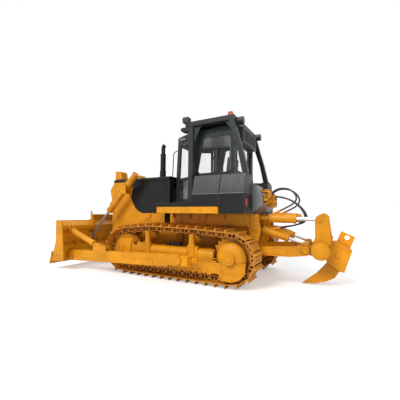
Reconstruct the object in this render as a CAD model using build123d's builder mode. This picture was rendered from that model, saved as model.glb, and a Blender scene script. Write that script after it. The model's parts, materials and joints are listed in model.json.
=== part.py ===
"""Crawler dozer of the 23-tonne class: straight tilting blade, roll-over frame and single-shank ripper.

+X forward, +Y left, +Z up.  The origin is on the ground under the middle of the machine.
Side profiles are lists of (x, z) in millimetres, with x counted forward from the sprockets' axis and
z up from the ground.
"""
import os
from math import atan2, cos, hypot, pi, radians, sin, sqrt, tan

from build123d import *

os.makedirs("parts", exist_ok=True)

# ---------------------------------------------------------------- driving dimensions, millimetres

# Running gear
gauge = 2000  # between the middles of the two tracks
shoe_width = 560
shoe_count = 38
shoe_thickness = 14
grouser_height = 65
pin_to_shoe = 58  # track pin's axis to the inner face of the shoe
pin_to_tread = 57  # track pin's axis to the face that the rollers run on
rail_thickness = 45
rail_gap = 100  # between the two rails of a chain
sprocket_pitch_radius = 434
sprocket_teeth = 25
idler_x = 2785
idler_pitch_radius = 436
roller_radius = 105
roller_count = 6
roller_first_x = 545
roller_last_x = 2330
carrier_radius = 92
carrier_slack = 8  # the chain sags this far off the carrier rollers between links
carriers = ((2000, 1086), (840, 1058))  # (x, height of the pin line above it)
running_fit = 0.3

plate = 25
guard_inner_y = 845  # middle of the roller guards, inside and outside the chain
guard_outer_y = 1228

# Blade and its push arms
arm_y = 1550
arm_width = 130
trunnion_x = 930
trunnion_z = 515
blade_width = 3725
blade_edge_x = 4700
blade_edge_z = 126
blade_top_z = 1240
moldboard_radius = 1250
moldboard_thickness = 25
lift_y = 840
lift_pin_x = 3120  # swinging yoke of the lift cylinder
lift_pin_z = 2090
lift_eye_x = 4365
lift_eye_z = 795
lift_barrel_radius = 80
lift_rod_radius = 37

# Hull and nose
hull_half_width = 480
belly_z = 405
deck_z = 1450
guard_half_width = 600
grille_x = 3700  # back of the grille, and front of the hull
hood_top_z = 2394
hood_low_z = 2372  # underside of the hood, which rests on the radiator guard
sheet = 25

# Cab and roll-over frame
cab_back_x = 100
cab_corner_x = 1170
cab_half_width = 700
cab_floor_z = 1600
cab_top_z = 3390
cab_wall = 45
nose_half_width = 400
nose_x = 1750
rops_y = 850
rops_post = 120
rops_top_z = 3560
rops_back_x = 35

# Ripper
ripper_y = 420
beam_y = 560
raise_y = 400
beam_front = (-250, 680)
beam_rear = (-1291, 740)
pitch_base = (-330, 1365)
pitch_eye = (-1541, 1355)
lift_base = (-330, 1155)
lift_eye = (-1289, 860)
shank_thickness = 75
shank_top_back_x = -2148
shank_hole = (-2011, 995)
shank_hole_radius = 45

# ---------------------------------------------------------------- worked out from the above

ground_to_pin = pin_to_shoe + shoe_thickness + grouser_height
sprocket_z = ground_to_pin + sprocket_pitch_radius
idler_z = ground_to_pin + idler_pitch_radius
roller_z = ground_to_pin + pin_to_tread + roller_radius
track_y = gauge / 2
track_inner_y = track_y - shoe_width / 2
sprocket_x = -(blade_edge_x + shank_top_back_x) / 2
hands = (("left", 1), ("right", -1))


def side(y=0):
    """Plane of a side profile: sketch x is forward from the sprockets, sketch y is up."""
    return Plane(origin=(sprocket_x, y, 0), x_dir=(1, 0, 0), z_dir=(0, -1, 0))


def across(x):
    """Plane of a cross-section at x: sketch x is to the left, sketch y is up, facing forward."""
    return Plane(origin=(sprocket_x + x, 0, 0), x_dir=(0, 1, 0), z_dir=(1, 0, 0))


def level(z):
    """Plane of a plan at height z."""
    return Plane(origin=(sprocket_x, 0, z))


def slab(profile, y, width, mode=Mode.ADD):
    """A side profile made `width` wide, with its middle at y."""
    with BuildSketch(side(y)) as face:
        Polygon(*profile, align=None)
    extrude(face.sketch, amount=width / 2, both=True, mode=mode)


def shaft(x, z, y_from, y_to, radius, mode=Mode.ADD):
    """A round bar across the machine."""
    with BuildSketch(side((y_from + y_to) / 2)) as face:
        with Locations((x, z)):
            Circle(radius)
    extrude(face.sketch, amount=abs(y_to - y_from) / 2, both=True, mode=mode)


def bar(start, end, radius, mode=Mode.ADD):
    """A round bar between two points (x, y, z)."""
    start = Vector(*start) + Vector(sprocket_x, 0, 0)
    end = Vector(*end) + Vector(sprocket_x, 0, 0)
    with BuildSketch(Plane(origin=start, z_dir=end - start)) as face:
        Circle(radius)
    extrude(face.sketch, amount=(end - start).length, mode=mode)


def on_line(point, angle, distance):
    """The (x, z) point that lies `distance` from a point, in the direction of an angle."""
    return point[0] + distance * cos(angle), point[1] + distance * sin(angle)


def in_plane(point, y):
    return point[0], y, point[1]


def strap(start, end, y, width, height):
    """A flat bar of the side view between two (x, z) points."""
    angle = atan2(end[1] - start[1], end[0] - start[0])
    up = angle + pi / 2
    slab([on_line(point, up, reach) for point, reach in
          ((start, -height / 2), (end, -height / 2), (end, height / 2), (start, height / 2))], y, width)


def block(x_from, x_to, y_from, y_to, z_from, z_to, mode=Mode.ADD):
    """A plain box between two corners."""
    with BuildSketch(level(z_from)) as face:
        Polygon((x_from, y_from), (x_to, y_from), (x_to, y_to), (x_from, y_to), align=None)
    extrude(face.sketch, amount=z_to - z_from, mode=mode)


def save(builder, name):
    builder.part.label = name
    export_step(builder.part, f"parts/{name}.step")


# ---------------------------------------------------------------- tracks

def chain_loop():
    """The pin line as pieces [length, kind, data], going forward on the ground and back on top."""
    wheels = [(idler_x, idler_z, idler_pitch_radius)]
    for x, pin_line in carriers:
        radius = carrier_radius + pin_to_tread
        wheels.append((x, pin_line - radius, radius))
    wheels.append((0, sprocket_z, sprocket_pitch_radius))
    normals = []
    for here, there in zip([wheels[-1]] + wheels, wheels):
        dx, dz = there[0] - here[0], there[1] - here[1]
        gap = hypot(dx, dz)
        lean = (here[2] - there[2]) / gap
        straight = sqrt(1 - lean**2)
        normals.append((lean * dx + straight * dz, lean * dz - straight * dx))
    angles = [atan2(nz, nx) for nx, nz in normals]
    pieces = []
    for i, (x, z, radius) in enumerate(wheels):
        begin, finish = angles[i], angles[(i + 1) % len(wheels)]
        while finish < begin:
            finish += 2 * pi
        pieces.append((radius * (finish - begin), "arc", (x, z, radius, begin)))
        next_x, next_z, next_radius = wheels[(i + 1) % len(wheels)]
        start = (x + radius * cos(finish), z + radius * sin(finish))
        end = (next_x + next_radius * cos(finish), next_z + next_radius * sin(finish))
        pieces.append((hypot(end[0] - start[0], end[1] - start[1]), "line", (start, end)))
    return pieces


def loop_point(pieces, distance):
    """The point of the pin line that lies `distance` along it."""
    for length, kind, data in pieces:
        if distance <= length:
            break
        distance -= length
    if kind == "arc":
        x, z, radius, begin = data
        angle = begin + distance / radius
        return x + radius * cos(angle), z + radius * sin(angle)
    (x0, z0), (x1, z1) = data
    share = distance / length
    return x0 + (x1 - x0) * share, z0 + (z1 - z0) * share


pin_line = chain_loop()
pin_line_length = sum(piece[0] for piece in pin_line)
link_pitch = pin_line_length / shoe_count
# The loop starts a little before the lowest point, so that a link lies flat under the last roller.
pins = [loop_point(pin_line, (i + 0.5) * link_pitch) for i in range(shoe_count)]


def around_links(outline):
    """Repeat (along, outward) points of one link round the whole loop, as a side profile."""
    points = []
    for (x0, z0), (x1, z1) in zip(pins, pins[1:] + pins[:1]):
        size = hypot(x1 - x0, z1 - z0)
        tx, tz = (x1 - x0) / size, (z1 - z0) / size
        points += [(x0 + a * tx + n * tz, z0 + a * tz - n * tx) for a, n in outline]
    return points


shoe_face = pin_to_shoe + shoe_thickness
shoe_tip = shoe_face + grouser_height
shoe_seam = 4  # steel left where two shoes lap
# Points of one link, (along the link, outward from the pin line).  The grouser trails its shoe.
shoe_outer = (
    (2, pin_to_shoe + shoe_seam), (6, shoe_face), (18, shoe_face), (22, shoe_tip), (34, shoe_tip),
    (46, shoe_face), (link_pitch - 14, shoe_face), (link_pitch - 8, pin_to_shoe + shoe_seam),
)
shoe_inner = ((12, pin_to_shoe), (link_pitch - 12, pin_to_shoe))
rail_outer = ((12, 25), (34, pin_to_shoe + 2), (link_pitch - 34, pin_to_shoe + 2), (link_pitch - 12, 25))
rail_inner = ((16, -30), (28, -pin_to_tread), (link_pitch - 28, -pin_to_tread), (link_pitch - 16, -30))

with BuildPart() as track_left:
    with BuildSketch(side(track_y)):
        Polygon(*around_links(shoe_outer), align=None)
        Polygon(*around_links(shoe_inner), align=None, mode=Mode.SUBTRACT)
    extrude(amount=shoe_width / 2, both=True)
    for rail in (-1, 1):
        with BuildSketch(side(track_y + rail * (rail_gap + rail_thickness) / 2)):
            Polygon(*around_links(rail_outer), align=None)
            Polygon(*around_links(rail_inner), align=None, mode=Mode.SUBTRACT)
        extrude(amount=rail_thickness / 2, both=True)
save(track_left, "track_left")

with BuildPart() as track_right:
    mirror(track_left.part, about=Plane.XZ)
save(track_right, "track_right")

# ---------------------------------------------------------------- sprockets, final drives, wheels

drive_flange_radius = 305
drive_case_radius = 200
drive_pilot_radius = 280
hub_radius = 95
hub_y = 1300
tooth_length = 52
sprocket_width = 70

with BuildPart() as sprockets:
    root = sprocket_pitch_radius - tooth_length / 2 - 8
    with BuildSketch(side(track_y)):
        with Locations((0, sprocket_z)):
            Circle(root)
            with PolarLocations(root, sprocket_teeth):
                Polygon((-10, -38), (30, -24), (44, -10), (44, 10), (30, 24), (-10, 38), align=None)
            Circle(drive_pilot_radius + running_fit, mode=Mode.SUBTRACT)
    extrude(amount=sprocket_width / 2, both=True)
    mirror(about=Plane.XZ)
save(sprockets, "sprockets")

with BuildPart() as final_drives:
    # (radius, from y, to y)
    for radius, y_from, y_to in (
        (drive_case_radius, hull_half_width, track_y - 60),
        (drive_flange_radius, track_y - 60, track_y - sprocket_width / 2),
        (drive_pilot_radius, track_y - sprocket_width / 2, track_y + sprocket_width / 2),
        (drive_flange_radius, track_y + sprocket_width / 2, 1200),
        (hub_radius, 1200, hub_y),
    ):
        shaft(0, sprocket_z, y_from, y_to, radius)
    chamfer(
        final_drives.edges().filter_by(GeomType.CIRCLE).group_by(Axis.Y)[-2].sort_by(SortBy.RADIUS)[-1],
        length=30,
    )
    mirror(about=Plane.XZ)
save(final_drives, "final_drives")

idler_width = 190
idler_shaft_radius = 70
idler_radius = sqrt(idler_pitch_radius**2 - (link_pitch / 2) ** 2) - pin_to_tread - running_fit
idler_flange_radius = idler_radius + 25
with BuildPart() as idlers:
    shaft(idler_x, idler_z, track_y - idler_width / 2, track_y + idler_width / 2, idler_radius)
    shaft(idler_x, idler_z, track_y - 42, track_y + 42, idler_flange_radius)
    shaft(idler_x, idler_z, guard_inner_y - plate / 2, guard_outer_y + plate / 2, idler_shaft_radius)
    mirror(about=Plane.XZ)
save(idlers, "idlers")

roller_width = 200
roller_flange_radius = roller_radius + 18
roller_shaft_radius = 45
roller_step = (roller_last_x - roller_first_x) / (roller_count - 1)
with BuildPart() as track_rollers:
    for i in range(roller_count):
        x = roller_first_x + i * roller_step
        shaft(x, roller_z, track_y - roller_width / 2, track_y + roller_width / 2, roller_radius)
        shaft(x, roller_z, track_y - 38, track_y + 38, roller_flange_radius)
        shaft(x, roller_z, guard_inner_y - plate / 2, guard_outer_y + plate / 2, roller_shaft_radius)
    mirror(about=Plane.XZ)
save(track_rollers, "track_rollers")

carrier_post_y = 1240
with BuildPart() as carrier_rollers:
    for x, pin_height in carriers:
        z = pin_height - pin_to_tread - carrier_radius
        radius = carrier_radius - carrier_slack
        shaft(x, z, track_y - roller_width / 2, track_y + roller_width / 2, radius)
        shaft(x, z, track_y - 38, track_y + 38, radius + 18)
        shaft(x, z, track_y, carrier_post_y - 25, roller_shaft_radius)
    mirror(about=Plane.XZ)
save(carrier_rollers, "carrier_rollers")

# ---------------------------------------------------------------- track frames

frame_inner_y = 830
frame_outer_y = 1170
frame_top_z = 700
frame_low_z = roller_z + roller_flange_radius + 12
roller_guard_low_z = roller_z - 40
frame_profile = (
    (520, frame_low_z), (520, frame_top_z), (2350, frame_top_z), (2350, frame_low_z),
)
roller_guard_profile = (
    (215, roller_guard_low_z), (2420, roller_guard_low_z), (2420, 560), (420, 560), (215, 460),
)
idler_block_profile = (
    (2300, 562), (2300, 700), (2430, 700), (2480, 850), (2870, 830), (2870, 470), (2425, 470), (2425, 562),
)
rock_guard_profile = (
    (230, roller_guard_low_z), (230, 480), (-320, 510), (-310, 310), (-200, 190), (-40, 125), (190, 140),
)
recoil_radius = 110
recoil_y, recoil_z = 1150, 610
recoil_covers = ((345, 705), (945, 1925))  # stretches of the rounded covers between the posts
post_base_y = 1250
trunnion_radius = 75

with BuildPart() as track_frames:
    slab(frame_profile, track_y, frame_outer_y - frame_inner_y)
    for y in (guard_inner_y, guard_outer_y):
        with BuildSketch(side(y)) as guard_face:
            Polygon(*roller_guard_profile, align=None)
            with Locations(*[(roller_first_x + i * roller_step, roller_z) for i in range(roller_count)]):
                Circle(roller_shaft_radius + running_fit, mode=Mode.SUBTRACT)
        extrude(amount=plate / 2, both=True)
        with BuildSketch(side(y)) as block_face:
            Polygon(*idler_block_profile, align=None)
            with Locations((idler_x, idler_z)):
                Circle(idler_shaft_radius + running_fit, mode=Mode.SUBTRACT)
        extrude(amount=plate / 2, both=True)
    for x, pin_height in carriers:
        z = pin_height - pin_to_tread - carrier_radius
        slab(((x - 70, frame_top_z - 150), (x - 45, z + 90), (x + 45, z + 90), (x + 70, frame_top_z - 150)),
             carrier_post_y, 50)
    slab(((520, 560), (520, 660), (2350, 660), (2350, 560)), 1205, 70)
    for x_from, x_to in recoil_covers:
        bar((x_from, recoil_y, recoil_z), (x_to, recoil_y, recoil_z), recoil_radius)
    block(1920, 2300, frame_outer_y, post_base_y, 560, 764)
    block(700, 950, frame_outer_y, post_base_y, 390, 760)
    with BuildSketch(side(guard_outer_y)) as rock_face:
        Polygon(*rock_guard_profile, align=None)
        with Locations((0, sprocket_z)):
            Circle(hub_radius + running_fit, mode=Mode.SUBTRACT)
    extrude(amount=plate / 2, both=True)
    shaft(trunnion_x, trunnion_z, frame_outer_y, arm_y + arm_width / 2 + 40, trunnion_radius)
    mirror(about=Plane.XZ)
save(track_frames, "track_frames")

# ---------------------------------------------------------------- hull, engine, nose

hull_profile = (
    (-218, 800), (-218, deck_z), (1150, deck_z), (1150, 1100), (grille_x, 1100), (grille_x, 700),
    (3000, belly_z + 60),
    (1500, belly_z), (-60, belly_z), (-218, 560),
)
pivot_x, pivot_z, pivot_radius = 560, 560, 95
equaliser_x, equaliser_z = 2150, 590
rib_xs = (330, 760, 1190, 1640)  # brackets under the platforms
rib_out_y = 760
with BuildPart() as main_frame:
    slab(hull_profile, 0, 2 * hull_half_width)
    shaft(pivot_x, pivot_z, -frame_inner_y, frame_inner_y, pivot_radius)
    block(equaliser_x - 90, equaliser_x + 90, -frame_inner_y, frame_inner_y, equaliser_z - 70, equaliser_z + 70)
    slab(((-218, 1185), (-218, deck_z), (1760, deck_z), (1760, 1185)), 0, 2 * cab_half_width)
    for x in rib_xs:
        block(x - 15, x + 15, cab_half_width, rib_out_y, 1330, deck_z)
        block(x - 15, x + 15, -rib_out_y, -cab_half_width, 1330, deck_z)
save(main_frame, "main_frame")

with BuildPart() as engine_block:
    slab(((1900, 1100), (1900, 2000), (2100, 2150), (3100, 2150), (3250, 2000), (3250, 1100)), 0, 700)
    block(1150, 1760, -700, 700, 1100, 1185)
save(engine_block, "engine_block")

guard_curve = ((2742, 1446), (2815, 1474), (2903, 1518), (2978, 1586), (3032, 1665), (3090, 1755), (3150, 1866))
guard_profile = (
    (2006, 1210), (2006, 1446), *guard_curve, (3150, hood_low_z), (3780, hood_low_z),
    (3797, 2300), (3936, 2086), (3832, 1700),
    (3815, 840), (3000, 840), (2700, 1160),
)
with BuildPart() as radiator_guard:
    slab(guard_profile, 0, 2 * guard_half_width)
    block(1900, 4000, -guard_half_width + sheet, guard_half_width - sheet, 800, 2260, mode=Mode.SUBTRACT)
save(radiator_guard, "radiator_guard")

# ---------------------------------------------------------------- hood and what stands on it

grille_bars = 9
with BuildPart() as front_grille:
    grille_half = guard_half_width - sheet - running_fit
    block(grille_x, grille_x + 20, -grille_half, grille_half, 850, 2250)
    for i in range(grille_bars):
        z = 930 + i * 155
        slab(((grille_x + 20, z), (grille_x + 75, z - 40), (grille_x + 75, z - 25), (grille_x + 20, z + 20)),
             0, 2 * grille_half - 60)
save(front_grille, "front_grille")

hood_back_x, hood_front_x = 1870, 3790
hood_edge_z = 2306
hood_half = guard_half_width + 12
with BuildPart() as hood:
    with BuildSketch(across(hood_back_x)):
        Polygon((-hood_half, hood_edge_z), (-hood_half, hood_top_z - 20), (-hood_half + 60, hood_top_z),
                (hood_half - 60, hood_top_z), (hood_half, hood_top_z - 20), (hood_half, hood_edge_z), align=None)
        Polygon((-guard_half_width, hood_edge_z), (-guard_half_width, hood_low_z), (guard_half_width, hood_low_z),
                (guard_half_width, hood_edge_z), align=None, mode=Mode.SUBTRACT)
    extrude(amount=hood_front_x - hood_back_x)
save(hood, "hood")

cover_lap = 30  # the covers tuck this far behind the edge of the radiator guard
cover_profile = (
    (1870, 1450), *[(x + cover_lap, z + 4) for x, z in guard_curve], (3150 + cover_lap, 2250), (3147, 2250),
    (3147, hood_low_z), (1870, hood_low_z),
)
with BuildPart() as engine_covers:
    slab(cover_profile, guard_half_width - sheet - running_fit - sheet / 2, sheet)
    mirror(about=Plane.XZ)
save(engine_covers, "engine_covers")

stack_x = 2510
stack_pipe_radius = 57
stack_parts = ((88, hood_top_z, 2650), (77, 2650, 3120), (stack_pipe_radius, 3120, 3300))  # (radius, from z, to z)
with BuildPart() as exhaust_stack:
    for radius, z_from, z_to in stack_parts:
        with BuildSketch(level(z_from)):
            with Locations((stack_x, 0)):
                Circle(radius)
        extrude(amount=z_to - z_from)
    with BuildLine(side(0)) as bend:
        JernArc(start=(stack_x, 3300), tangent=(0, 1), radius=110, arc_size=55)
    with BuildSketch(level(3300)):
        with Locations((stack_x, 0)):
            Circle(stack_pipe_radius)
    sweep(path=bend.wires()[0])
save(exhaust_stack, "exhaust_stack")

with BuildPart() as headlamps:
    lamp_profile = ((3540, hood_top_z), (3580, 2600), (3620, 2640), (3790, 2640), (3790, hood_top_z))
    slab(lamp_profile, 430, 260)
    mirror(about=Plane.XZ)
save(headlamps, "headlamps")

# ---------------------------------------------------------------- platforms, boxes, tank

fender_out_y = 1280
fender_top_z = 1580
fender_back_x, fender_front_x = 230, 1710
console_y = cab_half_width
with BuildPart() as fenders:
    block(fender_back_x, fender_front_x, console_y, fender_out_y, fender_top_z - 30, fender_top_z)
    block(fender_back_x, fender_front_x, fender_out_y - 30, fender_out_y, deck_z, fender_top_z)
    block(fender_back_x, fender_front_x, console_y, console_y + 300, deck_z, fender_top_z)
    mirror(about=Plane.XZ)
save(fenders, "fenders")

box_out_y = 1250
box_seam_x = 232
box_back_x = -295
box_profile = (
    (console_y, fender_top_z), (box_out_y, fender_top_z), (box_out_y, 1850), (1130, 2250), (console_y, 2250),
)
with BuildPart() as side_boxes:
    with BuildSketch(across(box_seam_x)):
        Polygon(*box_profile, align=None)
    extrude(amount=850 - box_seam_x)
    with BuildSketch(across(box_back_x)):
        Polygon((console_y, deck_z), (box_out_y, deck_z), *box_profile[2:], align=None)
    extrude(amount=box_seam_x - 6 - box_back_x)
    block(850, 1820, 1130, box_out_y, fender_top_z, 1680)
    mirror(about=Plane.XZ)
save(side_boxes, "side_boxes")

tank_back_x = -500
tank_profile = ((60, deck_z), (-218, deck_z), (tank_back_x, 1640), (tank_back_x, 1800), (-440, 1900), (60, 1960))
filler_profile = ((60, 1900), (-440, 1880), (-400, 2040), (-290, 2090), (60, 2130))  # the high side with the filler
with BuildPart() as fuel_tank:
    slab(tank_profile, 0, 2 * (console_y - 10))
    slab(filler_profile, 480, 420)
save(fuel_tank, "fuel_tank")

# ---------------------------------------------------------------- cab

cab_plan = (
    (cab_back_x, cab_half_width), (cab_corner_x, cab_half_width), (nose_x, nose_half_width),
    (nose_x + 180, nose_half_width - 93),
)
screen_low_x, screen_high_x = 1850, 1750
screen_low_z, screen_high_z = 1660, 3270
door_x, door_y = nose_x - cab_corner_x, nose_half_width - cab_half_width
door_length = hypot(door_x, door_y)
door_low_z, door_high_z = 1720, 3240
door_gap = 8
hinge_radius = 12
hinge_zs = (1900, 3000)
hinge_length = 60
screen_lean = (screen_low_x - screen_high_x) / (screen_high_z - screen_low_z)


def screen_x(z):
    """The front of the windscreen at height z."""
    return screen_low_x - (z - screen_low_z) * screen_lean


def cab_solid(inset, z_from, z_to):
    """The cab's six-sided block, set in from its outer faces."""
    with BuildPart() as solid:
        with BuildSketch(level(z_from)):
            Polygon(*cab_plan, *[(x, -y) for x, y in reversed(cab_plan)], align=None)
            if inset:
                offset(amount=-inset, kind=Kind.INTERSECTION)
        extrude(amount=z_to - z_from)
        slab(((screen_x(1500) - inset, 1500), (2600, 1500), (2600, 3600), (screen_x(3600) - inset, 3600)),
             0, 2000, mode=Mode.SUBTRACT)
    return solid.part


def door_plane(sign):
    """Upright plane of a door's outer face: sketch x is forward along it from the cab's corner."""
    return Plane(
        origin=(sprocket_x + cab_corner_x, sign * cab_half_width, 0),
        x_dir=(door_x, sign * door_y, 0),
        z_dir=(sign * door_y, -door_x, 0),
    )


def door_outline(inset):
    """Corners of a door in its own plane; its front edge leans with the windscreen's post."""
    def front(z):
        return (screen_x(z) - 60 - cab_corner_x) / door_x * door_length - inset
    low, high = door_low_z + inset, door_high_z - inset
    return ((70 + inset, low), (front(low), low), (front(high), high), (70 + inset, high))


def hinge_half(sign, door_side):
    """Knuckles and leaves of a door's hinges: the lower half is the cab's, the upper half the door's."""
    edge = 70 + door_gap / 2
    lift = hinge_length / 2 + running_fit if door_side else 0
    for z in hinge_zs:
        plane = door_plane(sign).offset(-sign * (hinge_radius + running_fit))
        axis = plane.from_local_coords((edge, z + lift, 0))
        with BuildSketch(Plane(origin=axis, z_dir=(0, 0, 1))) as knuckle:
            Circle(hinge_radius)
        extrude(knuckle.sketch, amount=hinge_length / 2)
        leaf_from, leaf_to = (edge, edge + 45) if door_side else (edge - 45, edge)
        with BuildSketch(door_plane(sign)) as leaf:
            Polygon((leaf_from, z + lift), (leaf_to, z + lift), (leaf_to, z + lift + hinge_length / 2),
                    (leaf_from, z + lift + hinge_length / 2), align=None)
        extrude(leaf.sketch, amount=-sign * hinge_radius)


side_window = ((180, 2380), (1020, 2380), (860, 3200), (180, 3200))
rear_window = ((-520, 2420), (520, 2420), (520, 3020), (-520, 3020))
front_window = ((-310, 1760), (310, 1760), (350, 3180), (-350, 3180))
glass_thickness = 8

with BuildPart() as cab_shell:
    add(cab_solid(0, cab_floor_z, cab_top_z))
    add(cab_solid(cab_wall, cab_floor_z, cab_top_z - 60), mode=Mode.SUBTRACT)
    slab(side_window, 0, 2 * cab_half_width + 100, mode=Mode.SUBTRACT)
    with BuildSketch(across(cab_back_x - 20)):
        Polygon(*rear_window, align=None)
    extrude(amount=cab_wall + 40, mode=Mode.SUBTRACT)
    with BuildSketch(across(1650)):
        Polygon(*front_window, align=None)
    extrude(amount=300, mode=Mode.SUBTRACT)
    for hand, sign in hands:
        with BuildSketch(door_plane(sign)):
            Polygon(*door_outline(0), align=None)
        extrude(amount=cab_wall + 5, both=True, mode=Mode.SUBTRACT)
        hinge_half(sign, door_side=False)
save(cab_shell, "cab_shell")

with BuildPart() as cab_glass:
    with BuildSketch(side(cab_half_width - cab_wall / 2)):
        Polygon(*side_window, align=None)
        offset(amount=-running_fit)
    extrude(amount=glass_thickness / 2, both=True)
    mirror(about=Plane.XZ)
    with BuildSketch(across(cab_back_x + cab_wall / 2)):
        Polygon(*rear_window, align=None)
        offset(amount=-running_fit)
    extrude(amount=glass_thickness)
    with BuildSketch(across(1600)):
        Polygon(*front_window, align=None)
        offset(amount=-running_fit)
    extrude(amount=400)
    slab(((screen_x(1500) - 20, 1500), (2600, 1500), (2600, 3600), (screen_x(3600) - 20, 3600)),
         0, 1000, mode=Mode.SUBTRACT)
    slab(((screen_x(1500) - 20 - glass_thickness, 1500), (1300, 1500), (1300, 3600),
          (screen_x(3600) - 20 - glass_thickness, 3600)), 0, 1000, mode=Mode.SUBTRACT)
save(cab_glass, "cab_glass")


def pane_outlines(grow):
    """The door's upper and lower panes, in its own plane."""
    def front(z):
        return (screen_x(z) - 60 - cab_corner_x) / door_x * door_length - 75
    rear = 145
    panes = []
    for low, high in ((1800, 2250), (2330, 3170)):
        panes.append((
            (rear - grow, low - grow), (front(low) + grow, low - grow),
            (front(high) + grow, high + grow), (rear - grow, high + grow),
        ))
    return panes


for hand, sign in hands:
    with BuildPart() as door:
        with BuildSketch(door_plane(sign)):
            Polygon(*door_outline(door_gap), align=None)
            for pane in pane_outlines(0):
                Polygon(*pane, align=None, mode=Mode.SUBTRACT)
        extrude(amount=sign * cab_wall)
        hinge_half(sign, door_side=True)
    save(door, f"door_{hand}")
    with BuildPart() as door_glass:
        with BuildSketch(door_plane(sign).offset(sign * cab_wall / 2)):
            for pane in pane_outlines(-running_fit):
                Polygon(*pane, align=None)
        extrude(amount=glass_thickness)
    save(door_glass, f"door_glass_{hand}")

with BuildPart() as cab_floor:
    add(cab_solid(cab_wall + running_fit, cab_floor_z, cab_floor_z + 60))
    block(200, 1500, -420, 420, deck_z, cab_floor_z)
    block(1560, 1700, -250, 250, cab_floor_z + 60, 2350)
    block(560, 1000, 330, 480, cab_floor_z + 60, 2150)
    block(560, 1000, -480, -330, cab_floor_z + 60, 2150)
save(cab_floor, "cab_floor")

with BuildPart() as operator_seat:
    block(500, 950, -180, 180, cab_floor_z + 60, 1950)
    block(480, 1000, -250, 250, 1950, 2080)
    slab(((400, 1950), (480, 1950), (520, 2080), (440, 2800), (330, 2800)), 0, 480)
save(operator_seat, "operator_seat")

# ---------------------------------------------------------------- roll-over frame and lamps

rops_front = ((1025, 3460), (1025, fender_top_z), (1145, fender_top_z), (1145, 3460))
rops_rear = (
    (rops_back_x, 3460), (-54, 3115), (-165, 2720), (-275, 2250), (-155, 2250), (-60, 2720), (66, 3115), (155, 3460),
)
with BuildPart() as rops_frame:
    slab(rops_front, rops_y, rops_post)
    slab(rops_rear, rops_y, rops_post)
    slab(((rops_back_x, 3450), (rops_back_x, rops_top_z), (1230, rops_top_z), (1230, 3450)), rops_y, rops_post)
    slab(((1035, 3455), (830, 3455), (1035, 3030)), rops_y, 30)
    slab(((90, 3240), (277, 3455), (130, 3455)), rops_y, 30)
    mirror(about=Plane.XZ)
    block(rops_back_x, 155, -rops_y, rops_y, 3400, rops_top_z)
    block(1100, 1230, -rops_y, rops_y, 3450, rops_top_z)
    block(rops_back_x, 1230, -rops_y, rops_y, rops_top_z - 60, rops_top_z)
    block(100, 1000, -500, 500, cab_top_z, rops_top_z - 60)
save(rops_frame, "rops_frame")

cooler_half_width = 520
with BuildPart() as air_conditioner:
    block(cab_back_x - 140, cab_back_x, -cooler_half_width, cooler_half_width, 3050, 3400)
save(air_conditioner, "air_conditioner")

with BuildPart() as work_lamps:
    bar((rops_back_x, 700, 3465), (rops_back_x - 145, 700, 3465), 85)
    block(1155, 1305, 770, 920, rops_top_z, 3690)
    mirror(about=Plane.XZ)
save(work_lamps, "work_lamps")

with BuildPart() as beacon:
    bar((230, 600, rops_top_z), (230, 600, 3740), 60)
save(beacon, "beacon")

# ---------------------------------------------------------------- blade and push arms

arm_clearance = 0.3
cap_half_height = 105  # of the bearing cap that holds the arm on its trunnion
with BuildPart() as push_arms:
    slab(((1180, 375), (4230, 225), (4230, 485), (1180, 620)), arm_y, arm_width)
    block(trunnion_x - 215, 1180, arm_y - arm_width / 2, arm_y + arm_width / 2,
          trunnion_z - cap_half_height, trunnion_z + cap_half_height)
    shaft(trunnion_x, trunnion_z, arm_y - 200, arm_y + 200, trunnion_radius + arm_clearance, mode=Mode.SUBTRACT)
    for edge in (-1, 1):
        slab(((2960, 480), (2960, 640), (3290, 710), (3370, 710), (3400, 640), (3400, 480)),
             arm_y + edge * (30 + running_fit + plate / 2), plate)
    mirror(about=Plane.XZ)
save(push_arms, "push_arms")

tip = (blade_edge_x, blade_edge_z)
brace_eye_width = 60
brace_neck = 75  # from the middle of an eye to the round tube
brace_low, brace_high = (3340, 660), (4285, 985)
board_low = (4648, 250)
board_high = (4490, blade_top_z)
board_chord = hypot(board_high[0] - board_low[0], board_high[1] - board_low[1])
board_sag = moldboard_radius - sqrt(moldboard_radius**2 - (board_chord / 2) ** 2)
board_middle = (
    (board_low[0] + board_high[0]) / 2 - board_sag * (board_high[1] - board_low[1]) / board_chord,
    (board_low[1] + board_high[1]) / 2 + board_sag * (board_high[0] - board_low[0]) / board_chord,
)
board_back = [(x - moldboard_thickness, z) for x, z in (board_low, board_middle, board_high)]
with BuildPart() as blade:
    with BuildSketch(side(0)):
        with BuildLine():
            ThreePointArc(board_low, board_middle, board_high)
            Line(board_high, board_back[2])
            ThreePointArc(*reversed(board_back))
            Line(board_back[0], board_low)
        make_face()
    extrude(amount=blade_width / 2, both=True)
    slab(((4480, blade_top_z), (4330, 1100), (4330, 1030), (4435, 910), (4440, 1100)), 0, blade_width - 40)
    slab(((4466, 640), (4330, 560), (4330, 260), (4560, 210), (4618, 240), (4626, 256), (4540, 420)),
         0, blade_width - 40)
    for sign in (-1, 1):
        slab(((4250, 1215), (4140, 230), (4630, 205), (4470, 700), (4485, 1235)), sign * (blade_width / 2 - 12), 24)
        for edge in (-1, 1):
            slab(((4330, 1100), (4240, 1010), (4240, 950), (4300, 920), (4425, 920)),
                 sign * arm_y + edge * (brace_eye_width / 2 + running_fit + plate / 2), plate)
    block(4460, 4485, -750, 750, 1200, 1400)
    for sign in (-1, 1):
        slab(((4460, 1500), (4330, 1105), (4485, 1105), (4490, 1500)), sign * 800, 20)
        for edge in (-1, 1):
            slab(((4440, 930), (4300, 860), (4300, 730), (4465, 640)), sign * lift_y + edge * 75, 30)
save(blade, "blade")

with BuildPart() as cutting_edge:
    slab((board_low, tip, (tip[0] - 28, tip[1]), board_back[0]), 0, blade_width)
save(cutting_edge, "cutting_edge")

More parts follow.
